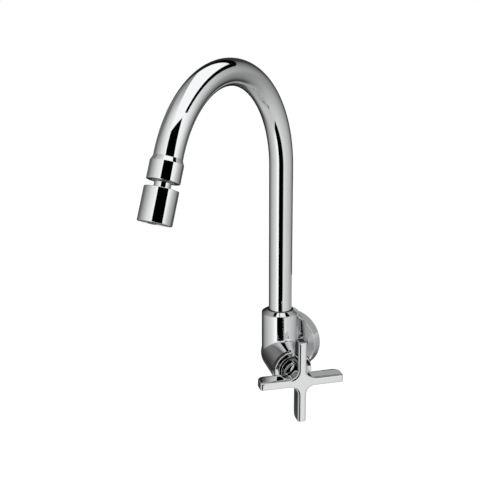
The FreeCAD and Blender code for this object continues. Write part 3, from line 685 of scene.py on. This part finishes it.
class TAP_OT_flange(bpy.types.Operator):
    """Build the dished wall flange and the foam ring behind it"""

    bl_idname = "tap.flange"
    bl_label = "Wall flange"

    def execute(self, context):
        sizes = context.scene.tap_sizes
        axis = wall_axis()
        back, front, depth = sizes.flange_back, sizes.flange_front, sizes.flange_depth
        wall = 1.2 * MM
        dish = depth - 0.7 * MM
        inside = dish - wall
        taper = (back - front) * inside / depth
        hub, bore, hub_end = in_mm(15.45, 13.05, 3.9)
        cup = [(back, 0), (front, depth), (front - wall, depth), (hub, dish), (bore, dish),
               (bore, hub_end), (hub, hub_end), (hub, inside),
               (back - taper - wall, inside), (back - wall, 0)]
        turned_piece("flange_cup", cup,
                     in_mm(0.15, 0.8, 1.0, 1.0, 0.35, 0.2, 0.2, 0.5, 0.7, 0.15),
                     axis, "tap_body", "chrome_polished", ["wall_flange"], 224)
        gap, width, thickness, edge = in_mm(0.3, 3.6, 2.0, 0.7)
        outer = back - wall - gap
        turned_piece("flange_foam", band(outer - width, outer, 0.0, thickness), edge, axis,
                     "tap_body", "foam_grey", ["flange_seal"], 192)
        return {"FINISHED"}


class TAP_OT_inlet(bpy.types.Operator):
    """Cut the pipe thread on the inlet nipple"""

    bl_idname = "tap.inlet"
    bl_label = "Inlet nipple"

    def execute(self, context):
        # The thread's radius falls from the crest by a clipped triangle wave of the station
        # over the pitch less the angle over a full turn, and runs out at both ends.
        columns, swell, trim, entry = 120, 1.25, 0.12, 0.9
        pitch = context.scene.tap_sizes.thread_pitch
        face, run_out, foot, crest, depth = in_mm(-16.0, 2.2, 3.0, 10.4775, 1.16)
        station = np.linspace(face, foot, 176)
        angle = np.linspace(0, 1, columns, endpoint=False)
        phase = (station[:, None] / pitch - angle[None, :]) % 1.0
        wave = np.clip(np.abs(phase * 2 - 1) * swell - trim, 0, 1)
        start = np.clip((station - face) / pitch, 0, 1)[:, None]
        stop = np.clip((run_out - station) / pitch, 0, 1)[:, None]
        outer = crest - depth * (wave * stop + (1 - start) * (1 - wave) * entry)
        # Inside, the bore widens to the strainer's seat at the open end.
        bore, seat, seat_end = in_mm(6.5, 7.25, -13.25)
        inner_station = np.array([foot, seat_end, seat_end, face])
        inner = np.array([bore, bore, seat, seat])[:, None] * np.ones(columns)
        centre, _, spoke = spokes(wall_axis(), np.concatenate([station, inner_station]),
                                  2 * np.pi * angle)
        grid = centre + np.concatenate([outer, inner])[..., None] * spoke
        shank, shank_end, edge = in_mm(9.15, 14.0, 0.2)
        tail = rounded_loop(band(bore, shank, foot, shank_end), edge)
        plain = (*around_axis(*tail, wall_axis(), columns), True)
        mesh_piece("nipple_threaded", [(grid, None, True), plain], "tap_body", "brass_turned",
                   ["inlet_nipple"])
        return {"FINISHED"}


class TAP_OT_bonnet(bpy.types.Operator):
    """Build the ring round the valve's mouth"""

    bl_idname = "tap.bonnet"
    bl_label = "Bonnet ring"

    def execute(self, context):
        sizes = context.scene.tap_sizes
        rim, back, front = sizes.ring_radius, sizes.ring_back, sizes.ring_front
        play, wall, lid = in_mm(0.6, 1.95, 1.75)
        mouth, inside = sizes.skirt_radius + play, rim - wall
        ring = [(inside, back), (rim, back), (rim, front), (mouth, front),
                (mouth, front - lid), (inside, front - lid)]
        turned_piece("bonnet_trim", ring, in_mm(0.05, 0.15, 0.9, 1.6, 0.1, 0.05),
                     valve_axis(sizes), "tap_body", "chrome_polished", ["bonnet_ring"])
        return {"FINISHED"}


def cross_outline(reach, half, root, tip):
    """The plus-shaped outline of four arms: twelve corners, each made an arc."""
    arm = np.array([(half, -half), (reach, -half), (reach, half)])
    quarter = np.array([[0.0, -1.0], [1.0, 0.0]])
    corners = np.concatenate([arm @ np.linalg.matrix_power(quarter.T, k) for k in range(4)])
    points, _ = rounded_loop(corners, [root, tip, tip] * 4, 10, 8)
    return points


def bend_at(before, corner, after, radius, steps=5):
    """The arc that rounds one corner of an open outline: a quarter of an ellipse's turn.

    The point is the corner plus the radius times one less the sine along the way back, and
    one less the cosine along the way on.
    """
    before, corner, after = (np.array(p, float) for p in (before, corner, after))
    first = (before - corner) / np.linalg.norm(before - corner)
    last = (after - corner) / np.linalg.norm(after - corner)
    turn = np.linspace(0, np.pi / 2, steps + 1)[:, None]
    return corner + radius * (first * (1 - np.sin(turn)) + last * (1 - np.cos(turn)))


class TAP_OT_handle(bpy.types.Operator):
    """Build the cross handle with its rounded edges, its skirt and the screw's hole"""

    bl_idname = "tap.handle"
    bl_label = "Cross handle"

    def bulge(self, crown, edge, deep):
        """Depths and insets down an arm's side, which rounds off, stands square and leans in.

        The slope turns over the front's crown and the edge's rounding, then slowly over a
        shoulder, stays square and turns on over the last stretch. Depth and width are the
        running sums of the sine and the cosine of the slope over the length of each step.
        The last value is the number of rows before the square part.
        """
        shoulder, lean = in_mm(2.2, 5.0)
        roll, first, square, last = 0.52, 1.13, np.pi / 2, 1.79
        # (slope at the start, slope at the end, length, steps)
        runs = [(0, roll, crown * roll, 5), (roll, first, edge * (first - roll), 4),
                (first, square, shoulder, 5), (square, square, 0, 1), (square, last, lean, 5)]
        slope = np.concatenate([a + (b - a) * (np.arange(n) + 0.5) / n for a, b, _, n in runs])
        step = np.concatenate([np.full(n, run / n) for _, _, run, n in runs])
        step[slope == square] = deep - (step * np.sin(slope)).sum()
        depth = np.concatenate([[0], np.cumsum(step * np.sin(slope))])
        width = np.concatenate([[0], np.cumsum(step * np.cos(slope))])
        return depth, width.max() - width, (slope < square).sum() + 1

    def execute(self, context):
        sizes = context.scene.tap_sizes
        reach, half, skirt = sizes.arm_reach, sizes.arm_width / 2, sizes.skirt_radius
        back, front = sizes.arm_back, sizes.arm_back + sizes.arm_depth
        tip_round, tip_corner, back_edge, root, least = in_mm(6.0, 1.4, 0.5, 8.0, 0.1)
        # Rows run from the front face's middle over the rounded edge, down the sides, round
        # the back and in to the skirt. Each row is the outline drawn in by an inset. Near the
        # back the tips also draw in, along a quarter circle of the tip's rounding.
        depth, inset, rows = self.bulge(sizes.arm_crown, sizes.arm_edge,
                                        front - back - back_edge)
        side_end, side_rows, back_rows, middle_rows, under_rows = 0.42, 12, 8, 6, 3
        side = back + tip_round * (1 - np.cos(np.linspace(np.pi / 2, side_end, side_rows)))
        turn = np.linspace(0, np.pi / 2, back_rows + 1)[1:]
        station = np.concatenate([front - depth[:rows], side,
                                  back + back_edge * (1 - np.sin(turn))])
        inset = np.concatenate([inset[:rows], np.interp(front - side, depth, inset),
                                inset[-1] + back_edge * (1 - np.cos(turn))])
        most = 0.93
        drop = np.clip((back + tip_round - station) / tip_round, 0, most)
        shorter = tip_round * (1 - np.sqrt(1 - drop ** 2))
        loops = np.stack([
            cross_outline(reach - i - s, half - i, root + i, max(tip_corner - i, least))
            for i, s in zip(inset, shorter)])
        angle = np.arctan2(loops[-1, :, 1], loops[-1, :, 0])
        circle = np.stack([np.cos(angle), np.sin(angle)], -1)
        middle = np.linspace(0, 1, middle_rows + 1)[:-1, None, None] * loops[0]
        share = np.linspace(0, 1, under_rows + 2)[1:-1, None, None]
        under = loops[-1] * (1 - share) + circle * skirt * share
        # The skirt is turned: down its outside, in to the bore, and up to the blind hole.
        steps = 40
        socket, socket_end, bore, bore_end, edge = in_mm(9.0, 51.8, 6.45, 61.9, 0.35)
        foot = sizes.ring_front - 1.1 * MM
        down = np.linspace(back, foot + 0.4 * MM, steps)
        corners = [(skirt, back), (skirt, foot), (socket, foot), (socket, socket_end),
                   (bore, socket_end), (bore, bore_end), (0.0, bore_end)]
        lathe = np.concatenate(
            [np.stack([np.full(steps, skirt), down], 1)]
            + [bend_at(*corners[k - 1:k + 2], edge) for k in range(1, 6)]
            + [np.array(corners[-1:])])
        radius = np.repeat(lathe[:, :1], len(angle), 1)
        # The grub screw's hole: the outside drops to a floor within a circle about the hole's
        # axis, which points down.
        place, hole, deep, soft = in_mm(54.15, 2.05, 1.6, 0.12)
        off = np.arctan2(np.sin(angle + np.pi / 2), np.cos(angle + np.pi / 2)) * skirt
        away = np.hypot(off[None, :], lathe[:steps, 1:] - place)
        radius[:steps] -= deep * np.clip((hole - away) / soft, 0, 1)
        flat = np.concatenate([middle, loops, under, radius[..., None] * circle])
        level = np.concatenate([np.full(len(middle), front), station,
                                np.full(len(under), back), lathe[:, 1]])
        centre, _, right, top = valve_axis(sizes)(level)
        grid = centre[:, None] + flat[..., :1] * right[:, None] + flat[..., 1:] * top[:, None]
        mesh_piece("cross_handle", [(grid, None, False)], "handle", "chrome_polished",
                   ["handle_cross"])
        return {"FINISHED"}


class TAP_OT_outlet(bpy.types.Operator):
    """Build the swivel collar, the ball on its stem, the aerator's housing and its ring"""

    bl_idname = "tap.outlet"
    bl_label = "Swivel outlet"

    def execute(self, context):
        sizes = context.scene.tap_sizes
        axis, chrome = outlet_axis(sizes), "chrome_polished"
        rim, top, mouth = sizes.collar_radius, sizes.collar_top, sizes.collar_end
        wall, throat, lid = in_mm(2.15, 3.8, 1.3)
        collar = [(rim - wall, top), (sizes.tube_radius, top), (rim, sizes.collar_shoulder),
                  (rim, mouth), (rim - throat, mouth), (rim - throat, mouth - lid),
                  (rim - wall, mouth - lid)]
        turned_piece("outlet_collar", collar, in_mm(0.05, 0.1, 0.4, 0.5, 0.35, 0.2, 0.1),
                     axis, "spout", chrome, ["swivel_collar"])
        # The ball's top is cut flat, and its stem ends in a spigot inside the housing.
        ball, stem, middle = sizes.ball_radius, sizes.stem_radius, sizes.ball_place
        head = sizes.housing_top
        cut, bore, spigot, floor = in_mm(7.0, 4.0, 5.5, 3.0)
        arc = arc_corners(middle, ball, math.acos(cut / ball),
                          math.pi - math.asin(stem / ball), 40)
        shape = np.concatenate([
            [(bore, middle - cut)], arc,
            [(stem, head), (spigot, head), (spigot, head + floor), (bore, head + floor)]])
        radii = np.concatenate([[0.2], np.full(len(arc), 0.02), [0.1, 0.1, 0.3, 0.2]]) * MM
        turned_piece("ball_and_stem", shape, radii, axis, "aerator_head", chrome,
                     ["ball_stem"])
        cup, end, seat = sizes.housing_radius, sizes.housing_end, sizes.washer_seat
        hole = spigot + 0.05 * MM
        inside = cup - 1.3 * MM
        ledge = inside - 1.9 * MM
        housing = [(hole, head), (cup, head), (cup, end), (inside, end), (inside, seat),
                   (ledge, seat), (ledge, head + floor), (hole, head + floor)]
        turned_piece("aerator_cup", housing, in_mm(0.1, 0.5, 0.5, 0.3, 0.1, 0.1, 0.5, 0.1),
                     axis, "aerator_head", chrome, ["aerator_housing"])
        # The ring's front face drops in four places, so that a coin key can turn it.
        ring = band(*in_mm(10.15, 11.65, 49.7, 51.4))
        edge, longest, notch_floor, notch_run, notch_depth = in_mm(0.2, 0.25, 50.2, 1.2, 0.9)
        columns, notches, half_notch, slope = 240, 4, 22, 6
        profile, facing = stepped(*rounded_loop(ring, edge), longest)
        points, _ = around_axis(profile, facing, axis, columns)
        angle = np.linspace(0, notches * 360, columns, endpoint=False) % 360
        notch = np.clip((half_notch - np.abs(angle - 180)) / slope, 0, 1)
        lift = np.clip((profile[:, 1] - notch_floor) / notch_run, 0, 1) * notch_depth
        points = points - (lift[:, None] * notch[None])[..., None] * outlet_heading(sizes)
        mesh_piece("aerator_ring", [(points, None, True)], "aerator_head", chrome,
                   ["outlet_ring"])
        return {"FINISHED"}


class TAP_OT_seals(bpy.types.Operator):
    """Build the rubber rings and the fibre washers"""

    bl_idname = "tap.seals"
    bl_label = "Seals"

    def execute(self, context):
        sizes = context.scene.tap_sizes
        valve, riser, outlet = valve_axis(sizes), riser_axis(sizes), outlet_axis(sizes)
        rubber, fibre, head = "rubber_black", "fibre_red", "aerator_head"
        seat = sizes.washer_seat / MM
        # (name, axis, body, slot, node, inner and outer radius, start, end)
        washers = [
            ("seal_seat", valve, "tap_body", rubber, "seat_seal", 5.2, 7.8, 8.0, 11.0),
            ("seal_outlet", outlet, head, rubber, "aerator_washer", 8.85, 11.65, seat, 38.6),
            ("fibre_inlet", wall_axis(), "tap_body", fibre, "inlet_washer", 6.5, 9.15, 14.0,
             16.0),
            ("fibre_cartridge", valve, "tap_body", fibre, "cartridge_washer", 10.5, 11.0,
             37.5, 38.7),
        ]
        for name, axis, body, slot, node, inner, outer, start, end in washers:
            ring = band(*in_mm(inner, outer, start, end))
            turned_piece(name, ring, 0.15 * MM, axis, body, slot, [node], 96)
        # (name, axis, body, node, middle radius, section radius, stations)
        rings = [
            ("o_rings_spout", riser, "spout", "spout_o_rings", 12.16, 0.85, (17.025, 21.425)),
            ("o_rings_spindle", valve, "handle", "spindle_o_rings", 4.25, 0.6, (37.0, 42.0)),
        ]
        turn = np.linspace(0, 2 * np.pi, 20, endpoint=False)
        across = np.stack([np.cos(turn), np.sin(turn)], 1)
        for name, axis, body, node, middle, section, stations in rings:
            grids = [(*around_axis(in_mm((middle, z)) + across * section * MM, across, axis,
                                   96), True) for z in stations]
            mesh_piece(name, grids, body, rubber, [node])
        # The seat above the ball is hollowed by the ball's own sphere.
        play, wall, upper, lower, edge = in_mm(0.15, 2.2, 8.0, 11.0, 0.02)
        sphere, middle = sizes.ball_radius + play, sizes.ball_place
        bore = sizes.collar_radius - wall
        hollow = arc_corners(middle, sphere, math.acos((middle - upper) / sphere),
                             math.acos((middle - lower) / sphere), 12)
        ring = np.concatenate([hollow, [(bore, lower), (bore, upper)]])
        turned_piece("seal_ball", ring, edge, outlet, "spout", rubber, ["collar_seal"], 96)
        return {"FINISHED"}


# Studio


def curve_of(tree, value, points):
    """The value through straight runs between (input, output) points."""
    low, high = points[0][0], points[-1][0]
    share = remap(tree, value, low, high, 0.0, 1.0)
    node = add(tree, "ShaderNodeFloatCurve", {"Value": share})
    line = node.mapping.curves[0]
    spots = [((x - low) / (high - low), y) for x, y in points]
    line.points[0].location, line.points[1].location = spots[0], spots[-1]
    for x, y in spots[1:-1]:
        line.points.new(x, y)
    for point in line.points:
        point.handle_type = "VECTOR"
    node.mapping.update()
    return node.outputs[0]


def blend_of(tree, share, first, second):
    """The first value where the share is 0 and the second where it is 1."""
    return add(tree, "ShaderNodeMix", {"Factor": share, "A": first, "B": second},
               data_type="FLOAT").outputs[0]


def studio_brightness(tree):
    """What the walls round the tap look like in each direction.

    Pale walls stand all round. They darken towards the sides and the back, and a little
    towards the floor. Bearings are in degrees from straight out of the wall, positive to the
    right, and heights in degrees above the horizon.
    """
    split = add(tree, "ShaderNodeSeparateXYZ", {
        "Vector": add(tree, "ShaderNodeTexCoord").outputs["Generated"]})
    ahead = math_of(tree, "MULTIPLY", split.outputs["Y"], -1.0)
    bearing = math_of(tree, "DEGREES", math_of(tree, "ARCTAN2", split.outputs["X"], ahead))
    height = math_of(tree, "DEGREES", math_of(tree, "ARCSINE", split.outputs["Z"]))
    lower = curve_of(tree, bearing, [
        (-180, .02), (-165, .02), (-140, .03), (-130, .08), (-122, .15), (-112, .24),
        (-105, .34), (-97, .44), (-90, .52), (-82, .58), (-67, .67), (-52, .73), (-22, .84),
        (-4, .97), (9, .99), (20, .8), (40, .6), (48, .60), (57, .82), (61, .87), (66, .84),
        (72, .80), (85, .79), (113, .72), (135, .64), (148, .55), (155, .50), (162, .41),
        (168, .30), (174, .15), (180, .04)])
    upper = curve_of(tree, bearing, [
        (-180, .25), (-160, .20), (-130, .14), (-122, .36), (-112, .46), (-107, .43),
        (-100, .38), (-94, .38), (-90, .42), (-80, .53), (-70, .60), (-58, .67), (-47, .73),
        (-26, .85), (-5, .90), (10, .96), (30, .8), (46, .7), (52, .72), (57, .82), (61, .87),
        (66, .84), (72, .82), (84, .92), (88, .98), (95, .94), (105, .92), (115, .87),
        (135, .74), (152, .59), (165, .48), (172, .42), (180, .34)])
    high = curve_of(tree, bearing, [
        (-180, .55), (-160, .55), (-140, .58), (-113, .56), (-104, .58), (-96, .64), (-80, .68),
        (-70, .69), (-50, .8), (-20, .87), (10, .96), (46, .7), (57, .82), (88, .98),
        (105, .92), (115, .87), (135, .74), (152, .66), (165, .60), (180, .55)])
    beneath = curve_of(tree, height, [
        (-90, .62), (-60, .62), (-48, .56), (-38, .28), (-28, .26), (-19, 0), (0, 0)])
    upper = blend_of(tree, remap(tree, height, 30, 52, 0, 1, True), upper, high)
    lower = math_of(tree, "MAXIMUM", lower, beneath)
    walls = blend_of(tree, remap(tree, height, -12, 8, 0, 1, True), lower, upper)
    behind = remap(tree, math_of(tree, "ABSOLUTE", bearing), 90, 150, 0, 1, True)
    floor = blend_of(tree, behind, 0.75, 0.64)
    return blend_of(tree, remap(tree, height, -70, -40, 1, 0, True), walls, floor)


def light_of(tree, brightness, mirrored=PLATE_SHARE):
    """The light that shows at this brightness once a surface has passed on its share."""
    return math_of(tree, "DIVIDE", math_of(tree, "POWER", brightness, SCREEN_POWER), mirrored)


class StudioSizes(bpy.types.PropertyGroup):
    """Place of the camera, the floor and the lamp."""

    camera_place: spot("Camera place", "Where the camera stands",
                       (0.332355, -0.638634, 0.293725))
    camera_turn: degrees("Camera bearing", "How far right of straight out it stands", 31.7)
    camera_rise: degrees("Camera rise", "How far it looks down", 15.01)
    camera_roll: degrees("Camera roll", "How far it leans", -0.47)
    lens: bpy.props.FloatProperty(name="Lens", description="Focal length in millimetres",
                                  default=57.39, subtype="DISTANCE_CAMERA", unit="CAMERA")
    floor_drop: length("Floor drop", "Floor below the inlet's axis", 340)
    ceiling_height: length("Ceiling height", "Soft ceiling above the inlet's axis", 442)
    lamp_power: bpy.props.FloatProperty(
        name="Lamp power", description="Power of the soft lamp", default=2.0, min=0.0,
        subtype="POWER", unit="POWER")
    lamp_size: length("Lamp size", "Width of the soft lamp", 1200)
    lamp_place: spot("Lamp place", "Where the soft lamp hangs", (-0.5, -1.1, 1.3))
    lamp_aim: spot("Lamp aim", "Where the soft lamp points", (0.0, -0.12, 0.1))


class TAP_OT_stage(bpy.types.Operator):
    """Set up the room, the floor, the tent's panels, the soft lamp and the camera"""

    bl_idname = "tap.stage"
    bl_label = "Stage"

    def execute(self, context):
        studio = context.scene.tap_studio
        self.room(context)
        self.floor(context, studio)
        self.panels(context, studio)
        self.lamp(context, studio)
        self.camera(context, studio)
        context.scene.view_settings.view_transform = "Standard"
        return {"FINISHED"}

    def room(self, context):
        """The camera sees plain white, and everything else sees the studio's walls."""
        world = bpy.data.worlds.new("studio_room")
        tree = bare_tree(world)
        path = add(tree, "ShaderNodeLightPath").outputs
        mirrored = blend_of(tree, path["Is Glossy Ray"], MATT_SHARE, PLATE_SHARE)
        light = light_of(tree, studio_brightness(tree), mirrored)
        strength = blend_of(tree, path["Is Camera Ray"], light, 1.0)
        background = add(tree, "ShaderNodeBackground", {"Strength": strength,
                                                        "Color": (1, 1, 1, 1)})
        add(tree, "ShaderNodeOutputWorld", {"Surface": background.outputs[0]})
        context.scene.world = world

    def floor(self, context, studio):
        """A wide disc that shows white to the camera and keeps the tap's shadow."""
        corners, reach = 96, 6.0
        ring = np.linspace(0, 2 * np.pi, corners, endpoint=False)
        points = np.stack([reach * np.cos(ring), reach * np.sin(ring),
                           np.full(corners, -studio.floor_drop)], 1)
        material, tree, shader = new_finish("floor_pale_matt", context.scene.tap_colours.ground,
                                            0.0, 0.9, 0.2)
        grain = noise(tree, along(tree), 40.0, 3.0)
        tree.links.new(remap(tree, grain, 0.3, 0.7, 0.85, 0.95), shader.inputs["Roughness"])
        glow = add(tree, "ShaderNodeEmission", {"Color": (1, 1, 1, 1)})
        camera = add(tree, "ShaderNodeLightPath").outputs["Is Camera Ray"]
        tree.links.new(math_of(tree, "MULTIPLY", camera, 0.55), glow.inputs["Strength"])
        both = add(tree, "ShaderNodeAddShader", {0: shader.outputs[0], 1: glow.outputs[0]})
        output = next(n for n in tree.nodes if n.type == "OUTPUT_MATERIAL")
        tree.links.new(both.outputs[0], output.inputs["Surface"])
        disc = self.sheet(context, "floor_disc", points, material)
        disc.visible_glossy = False

    def panels(self, context, studio):
        """The ceiling, its dark border, a pale sheet behind and the camera's dark opening.

        Only mirrored rays meet them. They are seen in the plating and nowhere else.
        """
        top, drop = studio.ceiling_height, -studio.floor_drop
        ceiling = in_mm((61, -381), (261, -253), (68, 89), (-130, -47))
        border = in_mm((240, -206), (352, -137), (262, 26), (176, 222), (60, 156), (-114, 96),
                       (-190, -10), (-130, -47), (60, -140))
        left, right = in_mm((57, -391), (244, -235))
        behind = in_mm((-20, 25, 14), (62, 25, 14), (62, 25, 58), (-20, 25, 58))
        above, over = top + 2 * MM, top + 4 * MM
        self.panel(context, "tent_ceiling", [(x, y, top) for x, y in ceiling], 0.97, 0.88)
        self.panel(context, "tent_border", [(x, y, above) for x, y in border], 0.01, 0.01)
        self.panel(context, "tent_back", behind, 0.6, 0.6)
        self.panel(context, "tent_opening",
                   [(*left, over), (*right, over), (*right, drop), (*left, drop)], 0.0, 0.0)

    def sheet(self, context, name, corners, material):
        """An object with one flat face."""
        mesh = bpy.data.meshes.new(name)
        mesh.from_pydata([tuple(corner) for corner in corners], [], [list(range(len(corners)))])
        mesh.materials.append(material)
        sheet = bpy.data.objects.new(name, mesh)
        context.scene.collection.objects.link(sheet)
        return sheet

    def panel(self, context, name, corners, front, back):
        """One glowing sheet, with its brightness before the wall and some way behind it."""
        material = bpy.data.materials.new(name)
        tree, behind = bare_tree(material), 0.07
        split = add(tree, "ShaderNodeSeparateXYZ", {
            "Vector": add(tree, "ShaderNodeTexCoord").outputs["Object"]})
        shown = remap(tree, split.outputs["Y"], 0.0, behind, front, back)
        glow = add(tree, "ShaderNodeEmission", {"Color": (1, 1, 1, 1),
                                               "Strength": light_of(tree, shown)})
        add(tree, "ShaderNodeOutputMaterial", {"Surface": glow.outputs[0]})
        sheet = self.sheet(context, name, corners, material)
        sheet.visible_camera = sheet.visible_diffuse = sheet.visible_shadow = False
        sheet.visible_transmission = sheet.visible_volume_scatter = False

    def lamp(self, context, studio):
        """One wide lamp above and in front."""
        light = bpy.data.lights.new("soft_lamp", "AREA")
        light.shape = "DISK"
        light.size = studio.lamp_size
        light.energy = studio.lamp_power
        lamp = bpy.data.objects.new("soft_lamp", light)
        lamp.location = studio.lamp_place
        aim = Vector(studio.lamp_aim) - lamp.location
        lamp.rotation_euler = aim.to_track_quat("-Z", "Y").to_euler()
        lamp.visible_glossy = False
        context.scene.collection.objects.link(lamp)

    def camera(self, context, studio):
        """The camera's back points along its bearing and rise, and it leans by its roll."""
        turn, rise, roll = studio.camera_turn, studio.camera_rise, studio.camera_roll
        back = Vector((math.sin(turn) * math.cos(rise), -math.cos(turn) * math.cos(rise),
                          math.sin(rise)))
        level = Vector((math.cos(turn), math.sin(turn), 0))
        above = back.cross(level)
        right = level * math.cos(roll) + above * math.sin(roll)
        top = above * math.cos(roll) - level * math.sin(roll)
        lens = bpy.data.cameras.new("studio_camera")
        lens.lens = studio.lens
        lens.sensor_width = 36.0
        lens.clip_start = 0.01
        camera = bpy.data.objects.new("studio_camera", lens)
        rows = zip(right, top, back, studio.camera_place)
        camera.matrix_world = Matrix((*rows, (0, 0, 0, 1)))
        context.scene.collection.objects.link(camera)
        context.scene.camera = camera


# Panel and registration


class TAP_PT_tap(bpy.types.Panel):
    """The tap's steps and sizes in the sidebar"""

    bl_idname = "TAP_PT_tap"
    bl_label = "Wall tap"
    bl_space_type = "VIEW_3D"
    bl_region_type = "UI"
    bl_category = "Tap"

    def draw(self, context):
        layout = self.layout
        for step in STEPS:
            layout.operator(step.bl_idname)
        for group in GROUPS:
            box = layout.box()
            settings = getattr(context.scene, group)
            for name in type(settings).__annotations__:
                box.prop(settings, name)


STEPS = (TAP_OT_finishes, TAP_OT_gooseneck, TAP_OT_socket, TAP_OT_flange, TAP_OT_inlet,
         TAP_OT_bonnet, TAP_OT_handle, TAP_OT_outlet, TAP_OT_seals, TAP_OT_stage)
GROUPS = {"tap_sizes": TapSizes, "tap_colours": TapColours, "tap_studio": StudioSizes}


def register():
    for kind in (*GROUPS.values(), *STEPS, TAP_PT_tap):
        bpy.utils.register_class(kind)
    for name, group in GROUPS.items():
        setattr(bpy.types.Scene, name, bpy.props.PointerProperty(type=group))


def unregister():
    for name in GROUPS:
        delattr(bpy.types.Scene, name)
    for kind in (TAP_PT_tap, *reversed(STEPS), *GROUPS.values()):
        bpy.utils.unregister_class(kind)


def main():
    """Registers the add-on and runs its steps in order."""
    register()
    bpy.ops.tap.finishes()
    bpy.ops.tap.gooseneck()
    bpy.ops.tap.socket()
    bpy.ops.tap.flange()
    bpy.ops.tap.inlet()
    bpy.ops.tap.bonnet()
    bpy.ops.tap.handle()
    bpy.ops.tap.outlet()
    bpy.ops.tap.seals()
    bpy.ops.tap.stage()


if __name__ == "__main__":
    main()
